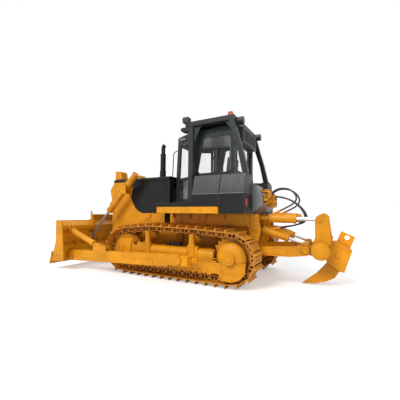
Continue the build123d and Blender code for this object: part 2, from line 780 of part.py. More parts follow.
with BuildPart() as braces:
    brace_angle = atan2(brace_high[1] - brace_low[1], brace_high[0] - brace_low[0])
    for end, way in ((brace_low, brace_angle), (brace_high, brace_angle + pi)):
        strap(end, on_line(end, way, brace_neck + 5), arm_y, brace_eye_width, 70)
        shaft(*end, arm_y - brace_eye_width / 2, arm_y + brace_eye_width / 2, 48)
    bar(in_plane(on_line(brace_low, brace_angle, brace_neck), arm_y),
        in_plane(on_line(brace_high, brace_angle, -brace_neck), arm_y), 68)
    mirror(about=Plane.XZ)
save(braces, "braces")

# ---------------------------------------------------------------- lift cylinders of the blade

lift_pin = (lift_pin_x, lift_pin_z)
lift_eye_point = (lift_eye_x, lift_eye_z)
lift_slope = atan2(lift_eye_z - lift_pin_z, lift_eye_x - lift_pin_x)
with BuildPart() as lift_yokes:
    for edge in (-1, 1):
        inner = lift_y + edge * 110
        slab(((3000, 1945), (3000, 2180), (3120, 2190), (3210, 2150), (3210, 2060), (3095, 1945)), inner, 24)
        shaft(lift_pin_x, lift_pin_z, inner - 13, inner + 13, 45 + running_fit, mode=Mode.SUBTRACT)
    shaft(lift_pin_x, lift_pin_z, guard_half_width, lift_y - 122, 60)
    block(3000, 3060, lift_y - 122, lift_y + 122, 1945, 1970)
    mirror(about=Plane.XZ)
save(lift_yokes, "lift_yokes")

for hand, sign in hands:
    y = sign * lift_y
    with BuildPart() as lift_barrel:
        bar(in_plane(on_line(lift_pin, lift_slope, -505), y), in_plane(on_line(lift_pin, lift_slope, 822), y),
            lift_barrel_radius)
        shaft(lift_pin_x, lift_pin_z, y - 121, y + 121, 45)
        bar(in_plane(on_line(lift_pin, lift_slope, -500), y), in_plane(on_line(lift_pin, lift_slope, 900), y),
            lift_rod_radius + 1, mode=Mode.SUBTRACT)
        bar(in_plane(on_line(lift_pin, lift_slope, -520), y), in_plane(on_line(lift_pin, lift_slope, -490), y),
            lift_barrel_radius + 15)
    save(lift_barrel, f"lift_barrel_{hand}")
    with BuildPart() as lift_rod:
        bar(in_plane(on_line(lift_pin, lift_slope, 300), y), in_plane(lift_eye_point, y), lift_rod_radius)
        shaft(lift_eye_x, lift_eye_z, y - 45, y + 45, 55)
    save(lift_rod, f"lift_rod_{hand}")

# ---------------------------------------------------------------- ripper

bracket_profile = ((-218, 1448), (-409, 1448), (-430, 1262), (-464, 1135), (-330, 600), (-218, 600))
pivot_pin_radius = 40
with BuildPart() as ripper_bracket:
    slab(bracket_profile, beam_y + 95, 30)
    slab(bracket_profile, raise_y - 115, 30)
    shaft(*beam_front, hull_half_width, beam_y + 80, pivot_pin_radius)
    for base in (pitch_base, lift_base):
        shaft(*base, raise_y - 100, beam_y + 80, pivot_pin_radius)
    mirror(about=Plane.XZ)
save(ripper_bracket, "ripper_bracket")

# ---------------------------------------------------------------- hoses of the ripper

hose_radius = 17
high_route = (  # (x, z) from the valve block up, back and down to the barrel that pitches the shank
    (-585, 1895), (-655, 1965), (-800, 2010), (-960, 1985), (-1080, 1890), (-1125, 1780), (-1080, 1680),
    (-960, 1600), (-820, 1530),
)
low_route = (  # round behind the pitch cylinders to the barrel that raises the beam
    (-675, 1830), (-850, 1815), (-1066, 1705), (-1200, 1572), (-1275, 1433), (-1255, 1321), (-1160, 1249),
    (-994, 1202), (-800, 1167),
)
# (cylinder and side, route, y at the valve block, y at the barrel)
hoses = (
    ("pitch", "left", high_route, 255, ripper_y),
    ("pitch", "right", high_route, 130, -ripper_y),
    ("raise", "left", low_route, 255, raise_y),
    ("raise", "right", low_route, 130, -raise_y),
)
gland_radius = 24


def hose_points(route, y_from, y_to):
    """Give a side route its y, which changes most before the last run, and not along it."""
    last = len(route) - 2
    return [
        Vector(x, y_from + (y_to - y_from) * min(i / last, 1) ** 2, z) for i, (x, z) in enumerate(route)
    ]


def bend_radii(points):
    """The largest bend at each corner that its two runs leave room for."""
    radii = []
    for before, corner, after in zip(points, points[1:], points[2:]):
        run_in, run_out = corner - before, after - corner
        turn = radians(run_in.get_angle(run_out))
        radii.append(0.45 * min(run_in.length, run_out.length) / tan(turn / 2))
    return radii


def gland_start(points):
    """A point behind the first one of a hose, inside the block that it leaves."""
    return points[0] - (points[1] - points[0]).normalized() * 60


def gland_end(points):
    """A point past the last one of a hose, inside the barrel that it feeds."""
    return points[-1] + (points[-1] - points[-2]).normalized() * 190


with BuildPart() as valve_block:
    block(tank_back_x - 170, tank_back_x, 60, 300, 1600, 1860)
    for x, z, radius in ((-540, 1800, 30), (-610, 1700, 40), (-540, 1660, 30)):
        shaft(x, z, 45, 315, radius)
    for name, hand, route, y_from, y_to in hoses:
        points = hose_points(route, y_from, y_to)
        bar(gland_start(points), points[0], gland_radius)
save(valve_block, "valve_block")

beam_width = 100
beam_end_radius = 88
beam_pin_radius = 45
with BuildPart() as ripper_beam:
    slab(((-250, 600), (-250, 765), (-1180, 820), (-1291, 828), (-1291, 652), (-1000, 612)), beam_y, beam_width)
    shaft(*beam_rear, beam_y - beam_width / 2, beam_y + beam_width / 2, beam_end_radius)
    shaft(*beam_front, beam_y - beam_width / 2, beam_y + beam_width / 2, 60)
    shaft(-1080, 705, 0, beam_y - beam_width / 2, 58)
    for edge in (-1, 1):
        slab(((-1080, 690), (-1110, 740), (-1160, 755), (-1170, 800), (-1215, 895), (-1262, 905), (-1316, 905),
              (-1335, 860), (-1316, 810), (-1150, 680)),
             raise_y + edge * 49, 24)
    shaft(*beam_rear, 0, beam_y + beam_width, beam_pin_radius + running_fit, mode=Mode.SUBTRACT)
    shaft(*beam_front, 0, beam_y + beam_width, pivot_pin_radius + running_fit, mode=Mode.SUBTRACT)
    mirror(about=Plane.XZ)
save(ripper_beam, "ripper_beam")

post_outer_y = 482
post_inner_y = 358
post_width = 30
with BuildPart() as ripper_pins:
    shaft(*beam_rear, post_outer_y - post_width / 2 - 5, beam_y + beam_width / 2 + 2, beam_pin_radius)
    slab(((-1215, 700), (-1215, 780), (-1360, 780), (-1360, 700)), beam_y + beam_width / 2 + 12, 20)
    mirror(about=Plane.XZ)
save(ripper_pins, "ripper_pins")

post_top = ((-1460, 1000), (-1460, 1300), (-1500, 1420), (-1622, 1480), (-1691, 1410), (-1741, 972), (-1733, 916))
pocket_profile = (
    (-1733, 916), (-1827, 922), (-2092, 753), (-2051, 625), (-1949, 319), (-1870, 332), (-1637, 497), (-1600, 800),
)
tube_radius = 130
tube = (-1559, 762)
shank_profile = (
    (-1911, 1123), (shank_top_back_x, 1014), (-1870, 332), (-1781, 180), (-1617, 91), (-1434, 35), (-1171, 8),
    (-1451, 246), (-1636, 466),
)
with BuildPart() as toolbar:
    shaft(*tube, 0, 615, tube_radius)
    shaft(*tube, 615, 650, 165)
    slab((*post_top, (-1640, 640), (-1460, 680)), post_inner_y, post_width)
    slab(pocket_profile, 115 / 2, 115)
    slab(shank_profile, 0, shank_thickness + 2 * running_fit, mode=Mode.SUBTRACT)
    mirror(about=Plane.XZ)
save(toolbar, "toolbar")

with BuildPart() as ripper_posts:
    slab((*post_top, (-1600, 640), (-1400, 650), (-1230, 690), (-1230, 790), (-1400, 860)), post_outer_y, post_width)
    shaft(*beam_rear, 0, beam_y, beam_pin_radius + running_fit, mode=Mode.SUBTRACT)
    shaft(*tube, 0, beam_y, tube_radius + running_fit, mode=Mode.SUBTRACT)
    mirror(about=Plane.XZ)
save(ripper_posts, "ripper_posts")

with BuildPart() as shank:
    slab(shank_profile, 0, shank_thickness)
    shaft(*shank_hole, -shank_thickness, shank_thickness, shank_hole_radius, mode=Mode.SUBTRACT)
save(shank, "shank")


eye_radius = 50
barrel_base = 15  # closed end of a barrel


def cylinder_body(base, eye, barrel_from, barrel_to, radius, bore, y, half_width):
    """Barrel of a cylinder pinned at base and pointing at eye; distances are from the base pin."""
    angle = atan2(eye[1] - base[1], eye[0] - base[0])
    shaft(*base, y - half_width, y + half_width, 70)
    bar(in_plane(base, y), in_plane(on_line(base, angle, barrel_from + 1), y), half_width)
    bar(in_plane(on_line(base, angle, barrel_from), y), in_plane(on_line(base, angle, barrel_to), y), radius)
    bar(in_plane(on_line(base, angle, barrel_from + barrel_base), y), in_plane(on_line(base, angle, barrel_to + 1), y),
        bore, mode=Mode.SUBTRACT)
    shaft(*base, y - half_width - 1, y + half_width + 1, pivot_pin_radius + running_fit, mode=Mode.SUBTRACT)


def cylinder_rod(base, eye, rod_from, radius, y, half_width):
    """Rod of the same cylinder with its eye; rod_from is the distance of its inner end from the base pin."""
    angle = atan2(eye[1] - base[1], eye[0] - base[0])
    bar(in_plane(on_line(base, angle, rod_from), y), in_plane(eye, y), radius)
    shaft(*eye, y - half_width, y + half_width, eye_radius)


# (name, y, base pin, eye, barrel from, barrel to, rod from, barrel radius, rod radius, half width of the eyes)
ripper_cylinders = (
    ("pitch", ripper_y, pitch_base, pitch_eye, 260, 790, 490, 92, 40, 45),
    ("raise", raise_y, lift_base, lift_eye, 120, 670, 370, 78, 36, 36),
)
for name, middle, base, eye, barrel_from, barrel_to, rod_from, radius, rod_radius, half_width in ripper_cylinders:
    for hand, sign in hands:
        with BuildPart() as barrel:
            for hose_name, hose_hand, route, y_from, y_to in hoses:
                if (hose_name, hose_hand) == (name, hand):
                    points = hose_points(route, y_from, y_to)
                    bar(points[-1], gland_end(points), gland_radius)
            cylinder_body(base, eye, barrel_from, barrel_to, radius, rod_radius + running_fit, sign * middle, half_width)
        save(barrel, f"{name}_barrel_{hand}")
        with BuildPart() as rod:
            cylinder_rod(base, eye, rod_from, rod_radius, sign * middle, half_width)
        save(rod, f"{name}_rod_{hand}")

# ---------------------------------------------------------------- hoses of the ripper

for name, hand, route, y_from, y_to in hoses:
    points = [point + Vector(sprocket_x, 0, 0) for point in hose_points(route, y_from, y_to)]
    radii = bend_radii(points)
    print(name, hand, "hose radii", [round(radius) for radius in radii])
    with BuildPart() as hose:
        with BuildLine() as path:
            FilletPolyline(*points, radius=radii)
        with BuildSketch(Plane(origin=path.wires()[0] @ 0, z_dir=path.wires()[0] % 0)):
            Circle(hose_radius)
        sweep(path=path.wires()[0])
    save(hose, f"{name}_hose_{hand}")
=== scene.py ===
"""The looks of the crawler dozer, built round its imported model.

Everything is in metres.  Positions are given as (x, y, z) with x counted forward from the sprockets' axis,
as in the part's own source: place() turns them into the frame's own.
"""
import json
from math import atan2, cos, hypot, pi, radians, sin, sqrt, tan

import bmesh
import bpy
from mathutils import Matrix, Vector


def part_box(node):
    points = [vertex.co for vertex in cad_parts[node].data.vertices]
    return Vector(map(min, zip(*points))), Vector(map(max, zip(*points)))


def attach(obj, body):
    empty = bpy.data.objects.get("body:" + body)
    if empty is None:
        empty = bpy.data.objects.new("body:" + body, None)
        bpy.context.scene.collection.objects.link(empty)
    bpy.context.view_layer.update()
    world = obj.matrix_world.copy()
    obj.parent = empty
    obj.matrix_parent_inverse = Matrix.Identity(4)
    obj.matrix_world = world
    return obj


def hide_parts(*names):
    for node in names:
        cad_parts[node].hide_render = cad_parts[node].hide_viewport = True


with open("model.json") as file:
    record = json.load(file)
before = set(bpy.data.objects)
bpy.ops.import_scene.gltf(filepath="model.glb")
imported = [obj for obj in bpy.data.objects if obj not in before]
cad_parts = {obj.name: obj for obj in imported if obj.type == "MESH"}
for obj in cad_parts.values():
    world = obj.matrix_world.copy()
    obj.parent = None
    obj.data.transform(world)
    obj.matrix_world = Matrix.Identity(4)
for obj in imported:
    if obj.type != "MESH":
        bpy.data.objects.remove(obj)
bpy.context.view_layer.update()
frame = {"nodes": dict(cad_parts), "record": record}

bodies = frame["record"]["behaviour"]["bodies"]
body_of = {node: body for body, nodes in bodies.items() for node in nodes}


def middle(node, axis):
    low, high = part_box(node)
    return (low[axis] + high[axis]) / 2


sprocket_x = middle("sprockets", 0)
hands = (("left", 1), ("right", -1))


def place(x, y, z):
    return Vector((sprocket_x + x, y, z))


# ---------------------------------------------------------------- materials

def new_material(name):
    material = bpy.data.materials.new(name)
    material.use_nodes = True
    tree = material.node_tree
    return material, tree, tree.nodes["Principled BSDF"]


def node(tree, kind, **values):
    """A shader node; keyword values are properties, or inputs where the name has a capital."""
    made = tree.nodes.new(kind)
    for name, value in values.items():
        if name[0].isupper():
            made.inputs[name.replace("_", " ")].default_value = value
        else:
            setattr(made, name, value)
    return made


def noise(tree, scale, detail=4.0, roughness=0.55):
    """Noise in the object's own coordinates, which move with the piece."""
    source = next((n for n in tree.nodes if n.type == "TEX_COORD"), None) or node(tree, "ShaderNodeTexCoord")
    made = node(tree, "ShaderNodeTexNoise", Scale=scale, Detail=detail, Roughness=roughness)
    tree.links.new(source.outputs["Object"], made.inputs["Vector"])
    return made.outputs["Fac"]


def ramp(tree, value, low, high, start=0.0, end=1.0):
    """Maps low..high to start..end, clamped."""
    made = node(tree, "ShaderNodeMapRange", From_Min=low, From_Max=high, To_Min=start, To_Max=end)
    tree.links.new(value, made.inputs["Value"])
    return made.outputs["Result"]


def product(tree, first, second):
    made = node(tree, "ShaderNodeMath", operation="MULTIPLY")
    tree.links.new(first, made.inputs[0])
    tree.links.new(second, made.inputs[1])
    return made.outputs[0]


def mixed(tree, share, first, second):
    """Colour mix; each colour is a tuple or a socket."""
    made = node(tree, "ShaderNodeMix", data_type="RGBA")
    tree.links.new(share, made.inputs["Factor"])
    for socket, colour in ((made.inputs[6], first), (made.inputs[7], second)):
        if isinstance(colour, tuple):
            socket.default_value = (*colour, 1.0)
        else:
            tree.links.new(colour, socket)
    return made.outputs[2]


def hollows(tree, distance):
    """1 in corners and gaps, where shade falls, 0 on open surfaces; it is ambient occlusion, used for painted shade.
    """
    shade = node(tree, "ShaderNodeAmbientOcclusion", samples=6, Distance=distance)
    return ramp(tree, shade.outputs["AO"], 0.75, 0.25)


def edges(tree, radius):
    """1 along sharp edges."""
    rounded = node(tree, "ShaderNodeBevel", samples=4, Radius=radius)
    flat = node(tree, "ShaderNodeNewGeometry")
    dot = node(tree, "ShaderNodeVectorMath", operation="DOT_PRODUCT")
    tree.links.new(rounded.outputs["Normal"], dot.inputs[0])
    tree.links.new(flat.outputs["Normal"], dot.inputs[1])
    return ramp(tree, dot.outputs["Value"], 0.97, 0.80)


def bumped(tree, shader, layers):
    """Bump from (height, strength, distance) layers, finest last."""
    normal = None
    for height, strength, distance in layers:
        made = node(tree, "ShaderNodeBump", Strength=strength, Distance=distance)
        tree.links.new(height, made.inputs["Height"])
        if normal:
            tree.links.new(normal, made.inputs["Normal"])
        normal = made.outputs["Normal"]
    tree.links.new(normal, shader.inputs["Normal"])


def paint(name, colour, roughness=0.42, dust_and_shade_colour=(0.10, 0.045, 0.015), dust_and_shade_share=0.75, worn=None, spread=0.16):
    """Sprayed steel: slow fading, dust and painted shade in corners, worn edges with a painted highlight on the dark
    paints, and a faint orange peel.
    """
    material, tree, shader = new_material(name)
    shader.inputs["Specular IOR Level"].default_value = 0.28
    pale = tuple(min(1.0, c * (1 + spread)) for c in colour)
    deep = tuple(c * (1 - spread) for c in colour)
    base = mixed(tree, ramp(tree, noise(tree, 1.7, 5.0, 0.6), 0.35, 0.65), deep, pale)
    if worn:
        # Worn edges and painted highlight: sharp edges, broken up by noise, take the edge colour; on the yellow paints
        # it is darker wear, on the black, dark, grey and pale grey paints a lighter painted highlight.
        edge_rub_and_highlight = product(tree, edges(tree, 0.010), ramp(tree, noise(tree, 9.0, 6.0, 0.7), 0.50, 0.62))
        base = mixed(tree, edge_rub_and_highlight, base, worn)
    # Dust and painted shade: ambient occlusion darkens corners and gaps towards the corner colour, broken up by noise;
    # on the yellow and pale grey paints this is painted shade, on the black and dark paints it is a lighter dust.
    dirt_and_shade = product(tree, hollows(tree, 0.14), ramp(tree, noise(tree, 6.0, 6.0, 0.65), 0.30, 0.60, 0.35, dust_and_shade_share))
    base = mixed(tree, dirt_and_shade, base, dust_and_shade_colour)
    tree.links.new(base, shader.inputs["Base Color"])
    gloss = ramp(tree, noise(tree, 14.0, 5.0, 0.6), 0.3, 0.7, roughness - 0.07, roughness + 0.12)
    tree.links.new(gloss, shader.inputs["Roughness"])
    bumped(tree, shader, ((noise(tree, 2.2, 2.0), 0.25, 0.02), (noise(tree, 160.0, 3.0), 0.12, 0.002)))
    return material


def track_steel(name):
    """Painted track steel, scuffed through to brown on what touches the ground, with dirt and painted shade darkening
    its gaps.
    """
    material, tree, shader = new_material(name)
    fresh = mixed(tree, ramp(tree, noise(tree, 7.0, 6.0, 0.7), 0.48, 0.74), (0.68, 0.27, 0.010), (0.46, 0.17, 0.010))
    rubbed = product(tree, edges(tree, 0.012), ramp(tree, noise(tree, 20.0, 5.0, 0.7), 0.40, 0.60))
    base = mixed(tree, rubbed, fresh, (0.52, 0.27, 0.10))
    # Dirt and painted shade: ambient occlusion darkens the gaps and holes of the track to a dark brown, broken up by
    # noise.
    dirt_and_shade = product(tree, hollows(tree, 0.10), ramp(tree, noise(tree, 12.0, 6.0, 0.7), 0.30, 0.60, 0.35, 0.90))
    base = mixed(tree, dirt_and_shade, base, (0.080, 0.028, 0.008))
    tree.links.new(base, shader.inputs["Base Color"])
    tree.links.new(ramp(tree, noise(tree, 25.0), 0.3, 0.7, 0.45, 0.75), shader.inputs["Roughness"])
    bumped(tree, shader, ((noise(tree, 45.0, 6.0, 0.7), 0.35, 0.004),))
    return material


def polished(name, colour=(0.80, 0.81, 0.83), roughness=0.16):
    material, tree, shader = new_material(name)
    shader.inputs["Metallic"].default_value = 1.0
    tree.links.new(mixed(tree, ramp(tree, noise(tree, 8.0), 0.4, 0.6), colour, tuple(c * 0.88 for c in colour)),
                   shader.inputs["Base Color"])
    tree.links.new(ramp(tree, noise(tree, 90.0), 0.3, 0.7, roughness, roughness + 0.12), shader.inputs["Roughness"])
    return material


def moulded(name, colour, roughness=0.55, grain=220.0, strength=0.25):
    """Plastic, rubber or vinyl with a fine grain."""
    material, tree, shader = new_material(name)
    tree.links.new(mixed(tree, ramp(tree, noise(tree, 5.0, 5.0), 0.35, 0.65), colour, tuple(c * 1.35 for c in colour)),
                   shader.inputs["Base Color"])
    tree.links.new(ramp(tree, noise(tree, 12.0), 0.3, 0.7, roughness - 0.06, roughness + 0.10),
                   shader.inputs["Roughness"])
    bumped(tree, shader, ((noise(tree, grain, 3.0), strength, 0.002),))
    return material


def lens(name, colour, roughness=0.12, ribs=60.0):
    """Moulded lamp lens with ribs."""
    material, tree, shader = new_material(name)
    shader.inputs["Coat Weight"].default_value = 0.6
    source = node(tree, "ShaderNodeTexCoord")
    wave = node(tree, "ShaderNodeTexWave", Scale=ribs, Distortion=0.0)
    tree.links.new(source.outputs["Object"], wave.inputs["Vector"])
    tree.links.new(mixed(tree, ramp(tree, wave.outputs["Fac"], 0.2, 0.8), colour, tuple(c * 0.7 for c in colour)),
                   shader.inputs["Base Color"])
    tree.links.new(ramp(tree, noise(tree, 30.0), 0.3, 0.7, roughness, roughness + 0.1), shader.inputs["Roughness"])
    bumped(tree, shader, ((wave.outputs["Fac"], 0.3, 0.003),))
    return material


def window_glass(name):
    """Thin tinted pane: mostly clear, with faint dusty patches."""
    material, tree, shader = new_material(name)
    shader.inputs["Base Color"].default_value = (0.30, 0.33, 0.33, 1.0)
    shader.inputs["Coat Weight"].default_value = 0.2
    tree.links.new(ramp(tree, noise(tree, 4.0, 5.0), 0.3, 0.7, 0.04, 0.10), shader.inputs["Roughness"])
    tree.links.new(ramp(tree, noise(tree, 2.5, 4.0), 0.3, 0.8, 0.03, 0.09), shader.inputs["Alpha"])
    return material


yellow_colour = (0.72, 0.285, 0.004)
yellow = paint("yellow_paint", yellow_colour, 0.40, worn=(0.42, 0.17, 0.03))
yellow_dusty = paint("yellow_paint_dusty", (0.64, 0.25, 0.006), 0.50, dust_and_shade_share=0.9, worn=(0.30, 0.14, 0.05))
# The edge colours of the black, dark, grey and pale grey paints are lighter than the paint itself: painted highlights
# along their edges.
black = paint("black_paint", (0.009, 0.0092, 0.0085), 0.42, dust_and_shade_colour=(0.05, 0.04, 0.03), dust_and_shade_share=0.4,
              worn=(0.07, 0.07, 0.07), spread=0.25)
dark = paint("dark_paint", (0.026, 0.030, 0.032), 0.36, dust_and_shade_colour=(0.05, 0.045, 0.04), dust_and_shade_share=0.4,
             worn=(0.10, 0.11, 0.11), spread=0.2)
grey = paint("grey_paint", (0.056, 0.056, 0.052), 0.42, dust_and_shade_colour=(0.05, 0.045, 0.04), dust_and_shade_share=0.5,
             worn=(0.20, 0.20, 0.19), spread=0.10)
pale_grey = paint("pale_grey_paint", (0.24, 0.245, 0.25), 0.34, dust_and_shade_colour=(0.06, 0.05, 0.045), dust_and_shade_share=0.5,
                  worn=(0.3, 0.3, 0.3), spread=0.10)
track_paint = track_steel("track_steel")
chrome = polished("rod_chrome")
bare_steel = polished("bare_steel", (0.42, 0.40, 0.38), 0.35)
rubber = moulded("hose_rubber", (0.018, 0.018, 0.017), 0.50)
plastic = moulded("black_plastic", (0.020, 0.020, 0.020), 0.48)
vinyl = moulded("seat_vinyl", (0.026, 0.026, 0.027), 0.60, 90.0, 0.4)
iron = paint("engine_iron", (0.10, 0.085, 0.05), 0.6)
pane = window_glass("window_glass")
white_lens = lens("lamp_lens", (0.75, 0.77, 0.78))
dark_lens = lens("work_lamp_lens", (0.045, 0.047, 0.050))
red_lens = lens("tail_lens", (0.55, 0.03, 0.01))
orange_lens = lens("beacon_lens", (0.75, 0.10, 0.02), ribs=30.0)


# ---------------------------------------------------------------- building pieces

def new_piece(name, mesh, body, material, bevel):
    """An object with rounded edges that rides on a body."""
    mesh.shade_smooth()
    mesh.set_sharp_from_angle(angle=radians(32))
    piece = bpy.data.objects.new(name, mesh)
    bpy.context.scene.collection.objects.link(piece)
    mesh.materials.clear()
    mesh.materials.append(material)
    if bevel:
        rounding = piece.modifiers.new("rounding", "BEVEL")
        rounding.width = bevel
        rounding.segments = 2
        rounding.limit_method = "ANGLE"
        rounding.angle_limit = radians(35)
        rounding.harden_normals = True
    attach(piece, body)
    return piece


def dress(name, material, bevel=0.004):
    """A CAD node's own shape with rounded edges, in the node's place."""
    shape = bmesh.new()
    shape.from_mesh(frame["nodes"][name].data)
    bmesh.ops.remove_doubles(shape, verts=shape.verts, dist=0.00002)
    bmesh.ops.dissolve_limit(shape, angle_limit=radians(1.0), verts=shape.verts, edges=shape.edges)
    mesh = bpy.data.meshes.new(name + "_look")
    shape.to_mesh(mesh)
    shape.free()
    if "custom_normal" in mesh.attributes:
        mesh.attributes.remove(mesh.attributes["custom_normal"])
    piece = new_piece(name + "_look", mesh, body_of[name], material, bevel)
    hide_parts(name)
    return piece


def smooth_run(points, reach):
    """A pipe's line through points, with each corner rounded from `reach` before it to `reach` after."""
    run = [points[0]]
    for before, corner, after in zip(points, points[1:], points[2:]):
        into, out = (before - corner), (after - corner)
        start = corner + into.normalized() * min(reach, into.length * 0.45)
        end = corner + out.normalized() * min(reach, out.length * 0.45)
        for step in range(7):
            t = step / 6
            run.append(start * (1 - t) ** 2 + corner * (2 * t * (1 - t)) + end * t**2)
    return run + [points[-1]]


class Shapes:
    """Gathers shapes of one finish that move with one body, and makes one piece of them."""

    def __init__(self, name, body, material, bevel=0.004, both=False):
        self.name, self.body, self.material, self.bevel, self.both = name, body, material, bevel, both
        self.mesh = bmesh.new()

    def solid(self, rings):
        """A closed skin through rings of points, capped at both ends."""
        loops = [[self.mesh.verts.new(point) for point in ring] for ring in rings]
        faces = [self.mesh.faces.new(list(reversed(loops[0]))), self.mesh.faces.new(loops[-1])]
        for lower, upper in zip(loops, loops[1:]):
            for i, vert in enumerate(lower):
                after = (i + 1) % len(lower)
                faces.append(self.mesh.faces.new((vert, lower[after], upper[after], upper[i])))
        bmesh.ops.recalc_face_normals(self.mesh, faces=faces)

    def side(self, profile, y_from, y_to):
        """A side profile of (x, z) points, between two y."""
        self.solid([[place(x, y, z) for x, z in profile] for y in (y_from, y_to)])

    def across(self, profile, x_from, x_to):
        """A cross-section of (y, z) points, between two x."""
        self.solid([[place(x, y, z) for y, z in profile] for x in (x_from, x_to)])

    def plan(self, profile, z_from, z_to):
        """A plan of (x, y) points, between two z."""
        self.solid([[place(x, y, z) for x, y in profile] for z in (z_from, z_to)])

    def box(self, x_from, x_to, y_from, y_to, z_from, z_to):
        self.plan(((x_from, y_from), (x_to, y_from), (x_to, y_to), (x_from, y_to)), z_from, z_to)

    def turned(self, origin, direction, rings, sides=28):
        """Rings of (distance along the axis, radius) round an axis."""
        origin, direction = place(*origin), Vector(direction).normalized()
        turn = direction.to_track_quat("Z", "Y")
        self.solid([[
            origin + turn @ Vector((radius * cos(2 * pi * i / sides), radius * sin(2 * pi * i / sides), along))
            for i in range(sides)] for along, radius in rings])

    def sleeve(self, origin, direction, inner, outer, length, sides=36):
        """A ring round an axis, open for what slides through it."""
        origin, direction = place(*origin), Vector(direction).normalized()
        turn = direction.to_track_quat("Z", "Y")
        slope = min(0.005, (outer - inner) / 2)
        section = ((0, inner), (0, outer - slope), (slope, outer), (length - slope, outer), (length, outer - slope),
                   (length, inner))
        loops = [[self.mesh.verts.new(origin + turn @ Vector((radius * cos(2 * pi * i / sides),
                                                              radius * sin(2 * pi * i / sides), along)))
                  for i in range(sides)] for along, radius in section]
        faces = [self.mesh.faces.new((low[i], low[(i + 1) % sides], high[(i + 1) % sides], high[i]))
                 for low, high in zip(loops, loops[1:] + loops[:1]) for i in range(sides)]
        bmesh.ops.recalc_face_normals(self.mesh, faces=faces)

    def rod(self, start, end, radius, sides=28, end_radius=None):
        line = Vector(end) - Vector(start)
        self.turned(start, line, ((0, radius), (line.length, end_radius or radius)), sides)

    def bolt(self, origin, direction, size=0.018, height=0.016):
        """A hexagon head on its washer."""
        self.turned(origin, direction, ((0, size * 1.3), (height * 0.25, size * 1.3)), 14)
        self.turned(origin, direction, ((height * 0.25, size), (height, size), (height * 1.15, size * 0.8)), 6)

    def bolts_round(self, origin, direction, circle, count, size=0.018, height=0.016, phase=0.0):
        turn = Vector(direction).to_track_quat("Z", "Y")
        for i in range(count):
            angle = phase + 2 * pi * i / count
            out = turn @ Vector((circle * cos(angle), circle * sin(angle), 0))
            self.bolt(Vector(origin) + out, direction, size, height)

    def pipe(self, points, radius, reach=0.06, sides=12):
        """A bent steel pipe."""
        run = smooth_run([Vector(p) for p in points], reach)
        rings = []
        for i, point in enumerate(run):
            ahead = run[min(i + 1, len(run) - 1)] - run[max(i - 1, 0)]
            turn = ahead.to_track_quat("Z", "Y")
            rings.append([place(*(point + turn @ Vector((radius * cos(2 * pi * k / sides),
                                                         radius * sin(2 * pi * k / sides), 0))))
                          for k in range(sides)])
        self.solid(rings)

    def done(self, *stands_for):
        """Make the piece; `both` repeats it on the machine's other side."""
        if self.both:
            copy = bmesh.ops.duplicate(self.mesh, geom=self.mesh.verts[:] + self.mesh.edges[:] + self.mesh.faces[:])
            for vert in (g for g in copy["geom"] if isinstance(g, bmesh.types.BMVert)):
                vert.co.y = -vert.co.y
            bmesh.ops.reverse_faces(self.mesh, faces=[g for g in copy["geom"] if isinstance(g, bmesh.types.BMFace)])
        mesh = bpy.data.meshes.new(self.name)
        self.mesh.to_mesh(mesh)
        self.mesh.free()
        piece = new_piece(self.name, mesh, self.body, self.material, self.bevel)
        if stands_for:
            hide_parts(*stands_for)
        return piece


# ---------------------------------------------------------------- camera, light and floor

camera_at = Vector((-3.1086, 5.9467, 1.4386))
camera_yaw, camera_pitch, camera_roll = radians(28.507), radians(3.095), radians(0.554)
forward = Vector((sin(camera_yaw) * cos(camera_pitch), -cos(camera_yaw) * cos(camera_pitch), sin(camera_pitch)))
level_right = Vector((-cos(camera_yaw), -sin(camera_yaw), 0))
level_up = level_right.cross(forward)
right = level_right * cos(camera_roll) + level_up * sin(camera_roll)
up = level_up * cos(camera_roll) - level_right * sin(camera_roll)
view = bpy.data.cameras.new("camera")
view.sensor_width = 36.0
view.lens = 23.13
view.shift_x = 0.0077
view.clip_end = 200.0
camera = bpy.data.objects.new("camera", view)
camera.matrix_world = Matrix.Translation(camera_at) @ Matrix((right, up, -forward)).transposed().to_4x4()
bpy.context.scene.collection.objects.link(camera)
bpy.context.scene.camera = camera
bpy.context.scene.view_settings.view_transform = "Standard"


def lamp(name, kind, energy, direction, **values):
    """A lamp that shines along a direction."""
    data = bpy.data.lights.new(name, kind)
    data.energy = energy
    for key, value in values.items():
        setattr(data, key, value)
    made = bpy.data.objects.new(name, data)
    made.rotation_mode = "QUATERNION"
    made.rotation_quaternion = (-Vector(direction)).to_track_quat("Z", "Y")
    bpy.context.scene.collection.objects.link(made)
    return made


lamp("key", "SUN", 1.9, (-0.30, -1.0, -0.85), angle=radians(22))
lamp("fill", "SUN", 0.55, (0.9, -0.4, -0.6), angle=radians(60))
lamp("top", "SUN", 0.7, (0.05, 0.2, -1.0), angle=radians(70))

world = bpy.data.worlds.new("studio")
bpy.context.scene.world = world
world.use_nodes = True
sky = world.node_tree
backdrop = sky.nodes["Background"]
backdrop.inputs["Color"].default_value = (0.90, 0.95, 1.0, 1.0)
backdrop.inputs["Strength"].default_value = 0.42
seen = node(sky, "ShaderNodeBackground", Strength=1.0)
seen.inputs["Color"].default_value = (1.0, 1.0, 1.0, 1.0)
path = node(sky, "ShaderNodeLightPath")
shown = node(sky, "ShaderNodeMath", operation="MAXIMUM")
sky.links.new(path.outputs["Is Camera Ray"], shown.inputs[0])
sky.links.new(path.outputs["Is Transmission Ray"], shown.inputs[1])
blend = node(sky, "ShaderNodeMixShader")
mirrored = node(sky, "ShaderNodeMath", operation="MULTIPLY")
mirrored.inputs[1].default_value = 0.6
sky.links.new(path.outputs["Is Glossy Ray"], mirrored.inputs[0])
all_seen = node(sky, "ShaderNodeMath", operation="MAXIMUM")
sky.links.new(shown.outputs[0], all_seen.inputs[0])
sky.links.new(mirrored.outputs[0], all_seen.inputs[1])
